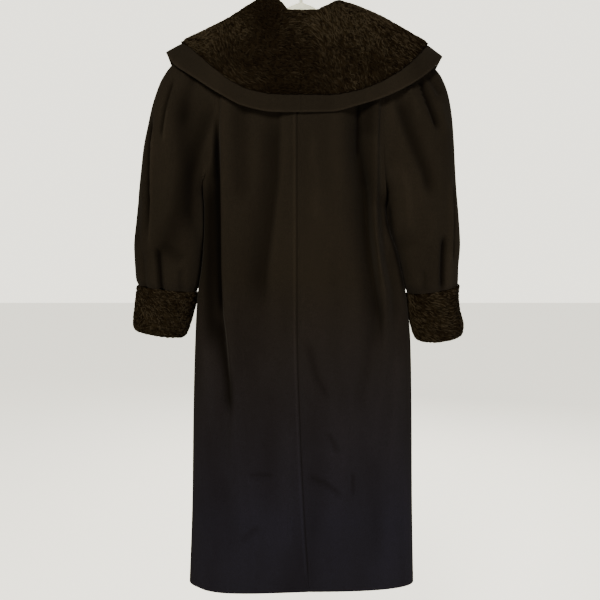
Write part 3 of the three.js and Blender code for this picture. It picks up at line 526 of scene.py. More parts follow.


# The cooler colour towards the hem is a painted cool light, and the shade attribute paints shade
# and highlights into the dye.
wool = finish_with(
    "black_wool", nap, ["Object"], (0.0022, 0.0015, 0.0008), (0.0176, 0.0134, 0.0083),
    {"Sheen Weight": 0.02, "Sheen Roughness": 0.5, "Sheen Tint": (0.9, 0.8, 0.66, 1),
     "Specular IOR Level": 0.02},
    Faded=(0.0141, 0.0132, 0.0188, 1), Fibres=850.0, Lift=0.55, Hollow=shade_of,
)
HAIR_SHINE = {"Specular IOR Level": 0.03, "Specular Tint": (1.0, 0.8, 0.5, 1)}
curls_fur = finish_with(
    "curled_fur", strands, ["UV", (9, 1.2, 1)], (0.0035, 0.0020, 0.0008),
    (0.0225, 0.0166, 0.0091), {"Roughness": 0.45, **HAIR_SHINE}, Shade=shade_of, Lift=0.5,
)
under_fur = finish_with(
    "under_fur", strands, ["Object", (260, 260, 900)], (0.0034, 0.0019, 0.0007),
    (0.0090, 0.0062, 0.0028), {"Roughness": 0.7, **HAIR_SHINE}, Shade=shade_of, Lift=0.8,
)
milky = finish_with(
    "milky_plastic", cast, ["Object"], (0.66, 0.66, 0.48), (0.78, 0.78, 0.60),
    {"Specular IOR Level": 0.45, "Coat Weight": 0.1}, Streaks=30.0, Worn=0.22,
)
horn = finish_with(
    "dark_horn", cast, ["Object"], (0.006, 0.005, 0.004), (0.045, 0.026, 0.013),
    {"Specular IOR Level": 0.35, "Coat Weight": 0.1}, Streaks=160.0, Worn=0.26,
)
print("materials:", [m.name for m in bpy.data.materials])

# %% [markdown]
# ## The body
# Two backs and two fronts hang from the shoulder line. A back is read column by column: from
# the centre seam over a soft trough and a ridge to the valley beside the underarm. Small
# creases are laid on top one by one, each as a line with a width and a depth, because a real
# coat that has hung for years keeps a few faint ones and no regular pattern.

# %% Where the panels lie
UPPER = np.linspace(0, 1, 62) ** 1.5        # rows down to the underarm
LOWER = np.append(np.linspace(0, 1, 130)[1:-1], [0.9965, 0.9987, 1])    # rows below, and the hem's
BACK_SPANS = {"trough": 24, "inner": 14, "ridge": 14, "valley": 12, "side": 14}
STEEP = 1.9                     # how soon the left fold falls from its ridge into its groove
CLOSE_TO_SEAM = 1.8             # above 1 crowds the columns beside the centre seam
FRONT_COLUMNS = 46


def shoulder_line(out):
    return SHOULDER_TOP - SHOULDER_SLOPE * out


def section_depth(out, reach, depth):
    """Depth of a section of the body at a place out from the middle."""
    part = np.minimum(1, np.abs(out) / reach)
    return depth * (1 - part ** SECTION_POWER) ** (1 / SECTION_POWER)


def section_reach(body, level):
    """How far out a section runs to no depth. Above the underarm it is open for the armhole."""
    open_reach = max(ARMHOLE_REACH, read(body, "side", UNDERARM) + ARMHOLE_SPARE)
    closing = fade((UNDERARM - level) / UNDERARM_BLEND)
    return mix(open_reach, read(body, "side", level), closing)


def shoulder_round(part):
    return np.sqrt(1 - (1 - np.minimum(1, part / SHOULDER_CAP)) ** 2)


def panel_rows():
    """Each row's part of the way to the underarm and its level at the side."""
    top = shoulder_line(SHOULDER_OUT)
    for part in UPPER:
        yield part, mix(top, UNDERARM, part)
    for part in LOWER:
        yield 1.0, mix(UNDERARM, HEM, part)


def underlap(side, out, z):
    """How far the left front is pushed in, to lie under the right one."""
    if side == "right":
        return np.zeros(np.shape(out))
    near = fade(1 - (out - LAP) / (UNDERLAP_REACH - LAP))
    return read(UNDERLAP, "push", z) * near


# %% Backs
def back_columns(side, level):
    """Places out from the middle along one row of a back, and how far each is pushed in."""
    body = BODY[side]
    centre = HANDS[side] * read(CENTRE_SEAM, "x", level) + TIGHT_SEAM
    outs = [centre] + [read(body, name, level) for name in BACK_SPANS]
    pushes = [0] + [read(body, name + "_in", level) for name in list(BACK_SPANS)[:-1]] + [0]
    out, push = [np.array([centre])], [np.array([0.0])]
    for k, count in enumerate(BACK_SPANS.values()):
        part = np.arange(1, count + 1) / count
        spaced = part ** CLOSE_TO_SEAM if k == 0 else part
        if k == len(BACK_SPANS) - 1:
            spaced = np.sin(part * math.pi / 2)
        out.append(mix(outs[k], outs[k + 1], spaced))
        step = spaced * STEEP if k == 3 and side == "left" else spaced
        push.append(mix(pushes[k], pushes[k + 1], fade(step)))
    return np.concatenate(out), np.concatenate(push)


NECK = {axis: read(COLLAR["left"], "seam_" + axis, np.linspace(0, SHOULDER, 90), "along")
        for axis in "xyz"}


def back_panel(side):
    body = BODY[side]
    rows = []
    for part, level in panel_rows():
        out, push = back_columns(side, level)
        in_neck = out < NECK_HALF
        neck_y = np.where(in_neck, np.interp(out, NECK["x"], NECK["y"]), 0)
        neck_z = np.interp(out, NECK["x"], NECK["z"]) - TIGHT_SEAM
        top = np.where(in_neck, neck_z, shoulder_line(out))
        z = np.broadcast_to(mix(top, UNDERARM, part) if part < 1 else level, out.shape)
        middle = read(DEPTH, "mid", z)
        depth = BACK_DEPTH * read(DEPTH, "part", z)
        full = middle - section_depth(out, section_reach(body, level), depth) + push
        y = mix(neck_y, full, shoulder_round(part) if part < 1 else 1)
        seam = (0 if part < 1 else middle) - TIGHT_SEAM
        y = np.minimum(y, seam)
        if part == 1:
            y[-1] = seam[-1]
        x = HANDS[side] * out
        sag = read(HEM_SAG, "drop", x, "x") * fade((SAG_FROM - z) / (SAG_FROM - HEM))
        rows.append(np.stack([x, y, z - sag], -1))
    return np.array(rows)


# %% Fronts
LAPEL_EASE = 0.75               # below 1 brings the rows closer together down the lapel
EDGE_EASE = 3                   # the front edge stays with the collar over a third of the way


def front_panel(side):
    body = BODY[side]
    rows = []
    sweep = np.sin(np.linspace(0, 1, FRONT_COLUMNS + 1) * math.pi / 2)
    for part, level in panel_rows():
        reach = section_reach(body, level)
        end = float(read(body, "side", level))
        if part < 1:
            along = mix(SHOULDER, LAPEL_END, part ** LAPEL_EASE)
            edge_x, edge_y, edge_z = (
                float(read(COLLAR["left"], "seam_" + axis, along, "along")) for axis in "xyz")
            edge_x, edge_z = edge_x + TIGHT_SEAM, edge_z - TIGHT_SEAM
        else:
            edge_x, edge_y, edge_z = -LAP, None, level
        out = mix(edge_x, end, sweep)
        z = mix(edge_z, level, sweep) if part > 0 else mix(
            edge_z, shoulder_line(end), (out - edge_x) / (end - edge_x))
        middle = read(DEPTH, "mid", z)
        full = middle + section_depth(out, reach, FRONT_DEPTH * read(DEPTH, "part", z))
        line = shoulder_line(np.abs(out))
        y = full * shoulder_round(np.maximum(0, (line - z) / (line - UNDERARM)))
        if edge_y is not None:
            y = mix(edge_y, y, fade(sweep * EDGE_EASE))
        seam = (0 if part < 1 else middle) + TIGHT_SEAM
        y = np.maximum(y, seam)
        if part == 1:
            y[-1] = seam[-1]
        rows.append(np.stack([HANDS[side] * out, y - underlap(side, out, z), z], -1))
    return np.array(rows)


# %% Creases laid on one by one
DEEP = 12                       # a crease this deep gets the full painted shade in its dye
ENDS = 5                        # a crease fades over one part in this many, at both ends


def crease_depth(x, z, creases):
    """Depth and painted shade of soft creases. Each is a line through points (x, z), its width,
    its depth and, where its painted shade isn't as strong as it is deep, its painted shade. Below
    zero it lifts the cloth and is painted paler, a painted highlight. A pair of widths, towards
    low x and high x, makes a fold that is steep on one side."""
    total, shade = np.zeros(np.shape(x)), np.zeros(np.shape(x))
    for points, width, depth, *dark in creases:
        low_side, high_side = width if isinstance(width, tuple) else (width, width)
        points = np.array(points, float)
        legs = np.diff(points, axis=0)
        lengths = np.linalg.norm(legs, axis=1)
        before = np.concatenate([[0], np.cumsum(lengths)])
        off, place, wide = np.full(total.shape, np.inf), 0 * total, 0 * total
        for start, leg, length, behind in zip(points, legs, lengths, before):
            t = np.clip(((x - start[0]) * leg[0] + (z - start[1]) * leg[1]) / length ** 2, 0, 1)
            beyond = x - start[0] - t * leg[0]
            far = np.hypot(beyond, z - start[1] - t * leg[1])
            place = np.where(far < off, behind + t * length, place)
            wide = np.where(far < off, np.where(beyond < 0, low_side, high_side), wide)
            off = np.minimum(off, far)
        along = place / before[-1]
        here = np.exp(-((off / wide) ** 2)) * fade(along * ENDS) * fade((1 - along) * ENDS)
        total += depth * here
        shade += (dark[0] if dark else depth / DEEP) * here
    return total, shade


# The fourth number, or else the depth, paints shade into the dye, and below zero a highlight;
# creases with no depth are only painted shade.
BACK_CREASES = [
    ([(-46, -270), (-50, -420), (-62, -520), (-73, -600), (-78, -700)], (30, 6), 10),
    ([(104, -250), (111, -300), (115, -370), (131, -455), (136, -540), (146, -620), (158, -700),
      (160, -780)], (22, 6), 11, 0.85),
    ([(110, -262), (112, -320), (112, -390)], 3.5, 6), ([(-116, -255), (-116, -480)], 14, 6),
    ([(146, -300), (152, -470), (150, -560), (162, -640)], (12, 14), -4, -0.15),
    ([(-165, -290), (-166, -480), (-165, -600), (-161, -730)], (6, 4.5), 13, 1.9),
    ([(-184, -400), (-187, -520), (-187, -650), (-180, -790)], 16, 1, 1.2),
    ([(132, -240), (131, -300), (126, -350)], 20, 1, 0.8), ([(126, -330), (130, -450)], 12, 0, 0.4),
    ([(153, -350), (155, -400), (158, -460)], 4, -1.5, -0.6),
    ([(140, -450), (147, -526), (152, -600), (165, -680)], 9, -1.5, -0.7),
    ([(170, -440), (176, -512), (192, -560), (203, -604), (215, -669)], 5, 2, 1.7),
    ([(182, -550), (188, -640), (192, -720)], 10, 0, 0.4),
    ([(-163, -690), (-158, -760), (-146, -830), (-142, -905)], (13, 7), 5, 1.1),
    ([(150, -700), (134, -800), (118, -900)], (12, 9), 3), ([(24, -330), (30, -520)], 12, -3),
    ([(200, -760), (186, -1010)], 12, -3), ([(-196, -740), (-182, -960)], 12, -3),
    ([(-60, -800), (-66, -1120)], 26, 3), ([(90, -850), (96, -1180)], 30, -3),
    ([(-28, -900), (-20, -1200)], 20, -3), ([(150, -960), (150, -1220)], 16, 3),
    ([(10, -740), (30, -815), (57, -870)], 8, 2.6, 0.5), ([(53, -930), (76, -975)], 6, 2.2, 0.5),
    ([(10, -1020), (50, -1038), (86, -1065)], 7, 2.2, 0.5),
    ([(105, -1010), (106, -1065)], 4, 1.6, 0.6),
    ([(-110, -1023), (-55, -1020)], 6, 1.8, 0.4), ([(-82, -1128), (-125, -1162)], 6, 2, 0.4),
    ([(-160, -1010), (-140, -1200)], 12, 2),
]
FRONT_CREASES = [
    ([(-30, -520), (-70, -490), (-110, -480)], 8, 1.8), ([(-28, -660), (-96, -610)], 7, 1.4),
    ([(60, -500), (130, -455)], 8, 1.8), ([(20, -820), (30, -880), (44, -960)], 8, 1.5),
    ([(-60, -860), (-80, -1060)], 12, 1.6), ([(96, -700), (84, -1000)], 12, -1.8),
    ([(-130, -520), (-140, -820)], 14, -1.8), ([(150, -540), (146, -760)], 12, 1.6),
    ([(30, -1090), (90, -1130)], 7, 1.2), ([(-100, -1150), (-40, -1135)], 6, 1.1),
]
print("creases: back", len(BACK_CREASES), "front", len(FRONT_CREASES))

# %% [markdown]
# Where two panels meet, the thickness of each must stand square to the seam, or the walls
# would run into each other. So the normals are turned at the borders: flat at the centre
# seam and the side, up over the shoulder, and level halfway down the armhole. The centre
# back is a welt seam: its right half is raised by the turned cloth beneath and held by a row
# of stitches beside it. The seam itself gets a painted shade line, and the left half a painted
# highlight line where the turned edge below it ends.

# %% Walls of the body
WELT = table("off lift", [
    (0, -0.9), (0.8, 0.2), (2, 0.9), (4, 0.8), (5.2, 0.1), (5.8, -0.7), (6.6, 0), (9, 0),
])
WELT_END, WELT_FADE = -1238, 20     # the welt goes over into the hem
SEAM_DIP = 0.8                      # how far the left half sinks, in its last millimetre
SEAM_PAINTED_SHADE = (0, 1.5, 0.5)           # off the seam, width and darkness of a painted line beside it; this one is painted shade in the seam
# a painted highlight line where the turned edge ends
EDGE_PAINTED_HIGHLIGHT = (5.5, 2, -0.7)
ARMHOLE_BLEND = 20


def line_beside(off, place, width, dark):
    return dark * np.exp(-(((off - place) / width) ** 2))


def armhole_normal(part, facing):
    """Normals along the armhole's edge: up at the shoulder, level from halfway down."""
    cosine = np.maximum(0, 1 - 2 * np.asarray(part, float))
    return np.stack([0 * cosine, facing * np.sqrt(1 - cosine ** 2), cosine], -1)


def panel_wall(name, grid, side, facing, creases):
    """Lays creases on a panel and gives it the thickness of the wool."""
    grid = grid.copy()
    # shade here is the creases' painted shade and painted highlights
    sunk, shade = crease_depth(grid[..., 0], grid[..., 2], creases)
    grid[..., 1] -= facing * sunk
    if facing < 0:
        off = HANDS[side] * (grid[..., 0] - grid[:, :1, 0])
        stitched = fade((grid[..., 2] - WELT_END) / WELT_FADE)
        if side == "right":
            grid[..., 1] -= read(WELT, "lift", off, "off") * stitched
        else:
            grid[..., 1] += np.where(off < 1, SEAM_DIP * (1 - off), 0)
            # a painted highlight line on the left half
            shade += line_beside(off, *EDGE_PAINTED_HIGHLIGHT) * stitched
        # a painted shade line in the seam
        shade += line_beside(off, *SEAM_PAINTED_SHADE) * stitched
    normals = normals_of(grid, -facing * HANDS[side])
    last = len(UPPER)
    gap = np.abs(grid[:, -1:, 0] - grid[..., 0])
    near = fade(1 - gap / ARMHOLE_BLEND)[..., None]
    turned = armhole_normal(UPPER, facing)[:, None, :]
    normals[:last] = mix(normals[:last], turned, near[:last])
    normals[last:, -1, 1] = 0
    shoulder = np.abs(grid[0, :, 0]) > NECK_HALF - 1
    normals[0, shoulder, 1] = 0
    if facing < 0:
        normals[:, 0, 0] = 0
    piece = wall_piece(name, grid, grid - WOOL * unit(normals), wool)
    give_shade(piece, np.concatenate([shade, 0 * shade]))
    return piece


def dress(piece, node_name):
    """Hangs a piece on the root and hides the solid of the frame that it stands for."""
    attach(piece, "root")
    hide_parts(node_name)


panels = {}
for side in HANDS:
    panels["back", side] = back_panel(side)
    panels["front", side] = front_panel(side)
    back = panel_wall(f"back_{side}_wool", panels["back", side], side, -1, BACK_CREASES)
    front = panel_wall(f"front_{side}_wool", panels["front", side], side, 1, FRONT_CREASES)
    dress(back, f"back_{side}")
    dress(front, f"front_{side}")
    print(side, "back", len(back.data.polygons), "front", len(front.data.polygons), "quads")

# %% [markdown]
# ## The sleeves
# A full sleeve is cut much wider than its armhole and its cuff, and the width is laid into
# pleats at both ends. Each ring of the sleeve is an ellipse between its outer point and its
# inner one, and the first rings blend out of the armhole. The pleats are creases again, but
# they push along the ring's own normal, so they wrap round the arm.

# %% Sleeve sizes
RING_COLUMNS = "ring outer_x outer_z inner_x inner_z depth y dip"
SLEEVE = {
    "left": table(RING_COLUMNS, [
        (0, 205, -165, 198.6, -432, 47, 0, 0), (1, 230, -168, 200, -440, 51, 0, 0),
        (2, 263, -187, 200.5, -450, 53, 0, 0), (3, 285, -229, 200, -461, 54, 0, 0),
        (4, 300, -269, 199.5, -473, 54, 0, 0), (5, 311.5, -312, 199, -487, 54, 1, 0),
        (6, 320.5, -354, 199, -502, 54, 1, 0), (7, 327, -400, 199.5, -520, 54, 2, 0),
        (8, 333, -446, 200.5, -538, 53, 3, 0), (9, 340, -505, 202, -560, 53, 4, 0),
        (10, 346, -560, 205, -586, 52, 5, 0), (11, 345, -602, 208, -612, 50, 6, 0),
        (12, 343.5, -624.5, 212, -635, 47, 6, 1.5), (13, 339, -636.6, 218, -651.1, 40, 6, 2),
    ]),
    "right": table(RING_COLUMNS, [
        (0, 202, -163, 168.6, -432, 47, 0, 0), (1, 230, -166, 171, -440, 51, 0, 0),
        (2, 259, -184, 172.5, -450, 53, 0, 0), (3, 283, -216, 172.5, -462, 54, 0, 0),
        (4, 298, -252, 173.5, -475, 54, 0, 0), (5, 307, -298, 174.5, -489, 54, 1, 0),
        (6, 311.5, -345, 177, -504, 54, 1, 0), (7, 315, -393, 181, -521, 54, 2, 0),
        (8, 319, -440, 187.3, -539, 53, 3, 0), (9, 325.5, -500, 195.5, -562, 53, 4, 0),
        (10, 329.5, -556, 205, -588, 52, 5, 0), (11, 327, -602, 211.5, -615, 51, 6, 2),
        (12, 327, -622.5, 216, -639, 50, 6, 4.5), (13, 326.5, -634.6, 222, -652.6, 45, 6, 6),
    ]),
}
HEAD_BLEND = table("ring part", [(0, 0), (1, 0.3), (2, 0.75), (3, 1), (13, 1)])
SLEEVE_RINGS = np.concatenate([np.linspace(0, 12.6, 112), [12.8, 12.95, 13]])
SLEEVE_COLUMNS = 108

# Pleats and folds of each sleeve's back. Its front has those of the other sleeve, mirrored.
SLEEVE_CREASES = {
    "left": [
        ([(-293, -280), (-300, -330), (-304, -408), (-306, -486), (-309, -548)], (9, 3), 6.5, 1.0),
        ([(-302, -290), (-305, -408), (-306, -510)], 3.5, 2, 0.9),
        ([(-294, -300), (-298, -408), (-301, -486), (-306, -580)], 2.5, -1.5, -0.9),
        ([(-250, -222), (-268, -285), (-275, -330), (-277, -350)], (4.5, 2.5), 6, 1.1),
        ([(-262, -285), (-269, -330), (-271, -360)], 2, -1.5, -0.9),
        ([(-240, -330), (-248, -400), (-256, -470), (-276, -520)], (7, 22), -5, -0.1),
        ([(-226, -230), (-230, -330), (-228, -408), (-242, -486), (-274, -565), (-284, -610)],
         (21, 30), 2.5, 0.8),
        ([(-186, -258), (-176, -292), (-189, -335), (-203, -372), (-214, -420), (-217, -490),
          (-211, -545)], (16, 7), 7, 0.65),
        ([(-188, -380), (-201, -460), (-202, -570)], 4, -2, -0.7),
        ([(-205, -205), (-225, -270), (-232, -330)], (12, 8), 5),
        ([(-284, -552), (-262, -568), (-232, -590)], 13, 5),
        ([(-289, -555), (-286, -600), (-284, -660)], (4, 7), 10, 1.6),
        ([(-240, -600), (-243, -655)], 6, 4), ([(-322, -560), (-318, -655)], 6, 4),
        ([(-300, -330), (-312, -470)], 9, -3), ([(-328, -450), (-330, -560)], 7, 3),
    ],
    "right": [
        ([(232, -222), (240, -254), (254, -292), (272, -334)], (3.5, 8), 10, 1.7),
        ([(184, -252), (197, -293), (209, -332), (227, -372), (245, -412), (260, -470)], (9, 15),
         9, 1.0),
        ([(186, -380), (198, -560)], 16, -1, -0.4), ([(214, -550), (224, -650)], 18, -1, -0.6),
        ([(176, -455), (184, -520), (200, -590)], 4, 1, 1.3),
        ([(302, -560), (302, -650)], 8, -1, -0.6),
        ([(210, -240), (222, -275), (236, -312)], 6, -4),
        ([(249, -214), (262, -236), (280, -262)], 8, 6),
        ([(268, -268), (292, -340)], 9, -3), ([(205, -400), (214, -470), (218, -540)], 9, -4),
        ([(299, -410), (303, -508), (301, -600)], 4.5, -4.5),
        ([(308, -425), (311, -510), (309, -600)], 4, 4),
        ([(289, -530), (286, -575), (287, -655)], (7, 4), 11, 1.7),
        ([(224, -440), (210, -548)], 12, 1.5, 0),
        ([(246, -604), (248, -655)], 6, 4), ([(265, -480), (262, -560)], 12, -3),
    ],
}
print("sleeve pleats and folds:", {side: len(rows) for side, rows in SLEEVE_CREASES.items()})


# %% Sleeves
TURN_AWAY = 2.5                 # how fast pleats fade where the sleeve turns to its other side
HEAD_FLAT = 2                   # pleats reach their depth within half a ring of the armhole


def ring_points(rows, hand, ring, turn):
    """Points of ellipses; turn runs from the outer point over the back to the inner one."""
    outer_x, outer_z, inner_x, inner_z, depth, y, dip = (
        read(rows, column, ring, "ring")[:, None] for column in RING_COLUMNS.split()[1:])
    swing_x, swing_z = (outer_x - inner_x) / 2, (outer_z - inner_z) / 2
    x = (outer_x + inner_x) / 2 + swing_x * np.cos(turn)
    z = (outer_z + inner_z) / 2 + swing_z * np.cos(turn) - dip * np.sin(turn)
    return np.stack([hand * x, y - depth * np.sin(turn), z], -1)


def armhole_points(side, turn):
    """The armhole's edge, walked round like a ring: up the back's side and down the front's."""
    part = (1 - np.cos(turn)) / 2
    count = len(UPPER)
    edges = []
    for which in ("back", "front"):
        edge = panels[which, side][:count, -1].copy()
        edge[[0, -1], 1] = 0
        edges.append(np.stack([np.interp(part, UPPER, edge[:, axis]) for axis in range(3)], -1))
    points = np.where(np.sin(turn)[:, None] >= 0, edges[0], edges[1])
    points[:, 0] += HANDS[side] * TIGHT_SEAM
    return points


def sleeve_wall(side):
    """A sleeve: rings that blend out of the armhole, with pleats pressed into them."""
    hand = HANDS[side]
    other = "right" if side == "left" else "left"
    turn = np.arange(SLEEVE_COLUMNS) / SLEEVE_COLUMNS * 2 * math.pi
    free = ring_points(SLEEVE[side], hand, SLEEVE_RINGS, turn)
    part_free = read(HEAD_BLEND, "part", SLEEVE_RINGS, "ring")[:, None, None]
    grid = mix(armhole_points(side, turn)[None], free, part_free)
    normals = normals_of(grid, -hand, closed=True)
    x, z = grid[..., 0], grid[..., 2]
    behind = fade(-TURN_AWAY * normals[..., 1])
    before = fade(TURN_AWAY * normals[..., 1])
    own = np.array(crease_depth(x, z, SLEEVE_CREASES[side]))
    mirrored = np.array(crease_depth(-x, z, SLEEVE_CREASES[other]))
    # shade here is the painted shade and painted highlights of the pleats and folds
    sunk, shade = own * behind + mirrored * before
    held = fade(SLEEVE_RINGS * HEAD_FLAT)[:, None]
    grid = grid - (sunk * held)[..., None] * normals
    normals = normals_of(grid, -hand, closed=True)
    part = (1 - np.cos(turn)) / 2
    at_back, at_front = armhole_normal(part, -1), armhole_normal(part, 1)
    normals[0] = np.where(np.sin(turn)[:, None] >= 0, at_back, at_front)
    normals[-1, :, 2] = 0
    piece = wall_piece(f"sleeve_{side}_wool", grid, grid - WOOL * unit(normals), wool, closed=True)
    give_shade(piece, np.concatenate([shade, 0 * shade]))
    return piece


for side in HANDS:
    sleeve = sleeve_wall(side)
    dress(sleeve, f"sleeve_{side}")
    print(side, "sleeve", len(sleeve.data.polygons), "quads")

# %% [markdown]
# ## The collar
# The fur collar rises from the neck seam, rolls over and falls on the shoulders, and a band
# of the coat's wool is sewn round it. Its shape comes from a few stations, from the centre
# back over the shoulder to the end of the lapel. At each one a curve runs through the
# collar's stops: seam, stand, roll, fall, middle and border. The real collar is two halves
# joined at the centre back, so each half is its own piece here.

# %% The collar's profile
BORDER = 5                      # the row where the fur ends and the band begins
STATION_SIZE = 2.8
STAND_AT, FALL_AT = 0.6, 0.14   # parts of the way from seam to roll, and from roll to middle
FALL_LIFT = 0.04                # how much the roll stays full where it starts to fall
FUR_ROWS = np.concatenate([np.linspace(0, 2, 13), np.linspace(2, BORDER, 54)[1:]])
BAND_ROWS = np.concatenate([[BORDER, 5.01, 5.04], np.linspace(5.09, 5.93, 11), [5.965, 5.99, 6]])


def curve_through(stops, places):
    """Centripetal Catmull-Rom curves through stops, one curve for each station."""
    first = 2 * stops[:, :1] - stops[:, 1:2]
    last = 2 * stops[:, -1:] - stops[:, -2:-1]
    full = np.concatenate([first, stops, last], axis=1)
    out = []
    for place in places:
        k = min(int(place), stops.shape[1] - 2)
        t = place - k
        p0, p1, p2, p3 = (full[:, k + n] for n in range(4))
        d0, d1, d2 = (np.sqrt(np.linalg.norm(b - a, axis=1))[:, None]
                      for a, b in ((p0, p1), (p1, p2), (p2, p3)))
        start = d1 * ((p1 - p0) / d0 - (p2 - p0) / (d0 + d1) + (p2 - p1) / d1)
        end = d1 * ((p2 - p1) / d1 - (p3 - p1) / (d1 + d2) + (p3 - p2) / d2)
        turn = 2 * (p1 - p2) + start + end
        bend = 3 * (p2 - p1) - 2 * start - end
        out.append(p1 + t * (start + t * (bend + t * turn)))
    return np.array(out)


def collar_stops(side, stations):
    """Stops of the fur's curves at stations, and the border and the edge of the band."""
    spots = {}
    for spot in ("seam", "roll", "mid", "border", "edge"):
        axes = [read(COLLAR[side], f"{spot}_{axis}", stations, "along") for axis in "xyz"]
        spots[spot] = np.stack(axes, -1)
    stand = mix(spots["seam"], spots["roll"], STAND_AT)
    fall = mix(spots["roll"], spots["mid"], FALL_AT)
    fall[:, 2] += FALL_LIFT * np.linalg.norm(spots["roll"] - spots["mid"], axis=1)
    stops = [spots["seam"], stand, spots["roll"], fall, spots["mid"], spots["border"]]
    return np.stack(stops, axis=1), spots["border"], spots["edge"]


def even_stations(side):
    """Stations about one size apart on the collar's middle and border."""
    dense = np.linspace(0, LAPEL_END, 1400)
    stops, border, _ = collar_stops(side, dense)
    steps = [np.linalg.norm(np.diff(line, axis=0), axis=1) for line in (stops[:, 4], border)]
    place = np.concatenate([[0], np.cumsum(sum(steps) / 2)])
    count = round(place[-1] / STATION_SIZE)
    return np.interp(np.linspace(0, place[-1], count), place, dense)


def collar_under(side, rows, stations):
    """The collar's underside and its normals, for rows of the fur or of the band."""
    hand = HANDS[side]
    stops, border, edge = collar_stops(side, stations)
    outwards = unit(edge - border)
    inner = curve_through(stops, rows[rows <= BORDER])
    outer = np.array([mix(border, edge, row - BORDER) for row in rows[rows > BORDER]])
    grid = np.concatenate([inner, outer.reshape(-1, *inner.shape[1:])])
    at_border = 0 if rows[0] == BORDER else -1
    grid[at_border] += (1 if at_border == 0 else -1) * TIGHT_SEAM * outwards
    grid[:, 0, 0] += TIGHT_SEAM
    push = underlap(side, grid[..., 0], grid[..., 2])
    grid[..., 1] -= push * fade((stations - SHOULDER) * 2)
    grid[..., 0] *= hand
    outwards = outwards * (hand, 1, 1)
    normals = normals_of(grid, hand)
    normals[:, 0, 0] = 0
    facing = (normals[at_border] * outwards).sum(-1, keepdims=True)
    normals[at_border] -= facing * outwards
    return grid, unit(normals)


STATIONS = {side: even_stations(side) for side in HANDS}
print("stations", {side: len(stations) for side, stations in STATIONS.items()})

# %% [markdown]
# ## Curls
# Lamb's wool grows in locks that lie beside each other, like ripples on sand. So a pelt is
# made in two layers. The ground is a thick skin with low ripples. On it lie some thousands of
# locks, each a short tapering strand. Which way they lie is one smooth field for all of them: a
# height over the pelt, whose level lines the locks follow. The lines lean with the pelt, and
# a wave in them crimps the hair. Rows of paler and darker locks run along the same lines: a
# painted highlight along the rows and painted shade in the partings between them.

# %% How the hair lies
CRIMP = 9.5                     # from one bend of the hair to the next but one
CRIMP_SIZE = 1.1
CRIMP_DRIFT = (1.5, 40)         # how unevenly the bends follow each other, and over what size
LEVEL_DRIFT = (10, 80)          # the same for the level lines
PARTING = 5.5                   # from one parting between the rows to the next, down the pelt
LEAN = table("x fall", [        # how steeply the hair runs down to the right
    (-400, 0.75), (-120, 0.75), (-55, 0.05), (10, 0.1), (45, 1.45), (110, 1.3), (180, 0.6),
    (250, 0.4), (400, 0.1),
])
LEVEL_X = np.arange(-400, 401, 2.0)
LEVEL_FALL = np.cumsum(2.0 * np.interp(LEVEL_X, LEAN["x"], LEAN["fall"]))
COLLAR_MIDDLE = -200
print("the hair leans down to the right, steepest:", LEAN["fall"].max())


def hair_level(seed, x, z):
    """A height over the pelt: the hair follows its level lines, which bend to and fro."""
    lean = np.interp(x, LEAN["x"], LEAN["fall"])
    steep = np.sqrt(1 + lean ** 2)
    waves = 2 * math.pi * (x - lean * (z - COLLAR_MIDDLE)) / steep / CRIMP
    waves = waves + CRIMP_DRIFT[0] * wander(seed + 2, CRIMP_DRIFT[1], x, 0 * x, z)
    level = -z - np.interp(x, LEVEL_X, LEVEL_FALL)
    level = level + LEVEL_DRIFT[0] * wander(seed, LEVEL_DRIFT[1], x, 0 * x, z)
    return level + CRIMP_SIZE * steep * np.cos(waves)


def hair_way(seed, place):
    """The direction of the level line at places on the pelt."""
    x, _, z = place.T
    level, near = hair_level(seed, x, z), 0.5
    by_x = hair_level(seed, x + near, z) - level
    by_z = hair_level(seed, x, z + near) - level
    return unit(np.stack([-by_z, 0 * x, by_x], -1))


# %% Where the pelt is painted paler, a painted sheen
# Middle of each place, how far it reaches, and how much paler or darker the hair is painted
# there: a painted sheen, as it leans towards the eye or away from it.
PALER = [
    ((-190, -155), (56, 36), 1.2), ((-135, -135), (34, 22), 0.9), ((35, -130), (34, 24), 1.4),
    ((105, -125), (56, 36), 1.7), ((170, -175), (56, 34), 0.5), ((215, -215), (30, 30), 0.5),
    ((-64, -128), (34, 40), -0.75), ((-45, -200), (70, 36), -0.45),
    ((-155, -196), (44, 24), -0.45), ((-34, -258), (46, 24), -0.65),
    ((28, -226), (24, 18), -0.25), ((145, -215), (30, 22), -0.35), ((60, -262), (40, 20), -0.15),
    ((110, -249), (26, 16), 0.4), ((-285, -690), (110, 80), 0.55), ((285, -695), (110, 80), 0.6),
]
LEAST_PALE, MOST_PALE = 0.25, 2.6


def paleness(place):
    """How pale the hair is painted at places on the pelt, a painted sheen: 1 is usual."""
    total = np.ones(place.shape[:-1])
    for (x, z), (wide, high), gain in PALER:
        off_x, off_z = (place[..., 0] - x) / wide, (place[..., 2] - z) / high
        total += gain * np.exp(-off_x ** 2 - off_z ** 2)
    return np.clip(total, LEAST_PALE, MOST_PALE)


# %% Places on a grid
def surface_reader(grid, normals, closed):
    """Reads points, normals and both directions of a grid at any place on it. Beyond the first
    column of an open grid, which is the centre back, it reads the grid's mirror image."""
    down, across = grid_steps(grid, closed)
    layers = np.concatenate([grid, normals, down, across], axis=-1)
    rows, columns = grid.shape[:2]

    def at(i, j):
        mirrored = (j < 0) & (not closed)
        j = j % columns if closed else np.clip(np.abs(j), 0, columns - 1.001)
        i = np.clip(i, 0, rows - 1.001)
        i0, j0 = i.astype(int), j.astype(int)
        j1 = (j0 + 1) % columns
        ti, tj = (i - i0)[:, None], (j - j0)[:, None]
        near = mix(layers[i0, j0], layers[i0, j1], tj)
        far = mix(layers[i0 + 1, j0], layers[i0 + 1, j1], tj)
        values = mix(near, far, ti)
        flip = np.where(mirrored, -1.0, 1.0)[:, None]
        values[:, (0, 3, 6)] *= flip
        values[:, 10:] *= flip
        return values[:, :3], unit(values[:, 3:6]), values[:, 6:9], values[:, 9:]

    return at


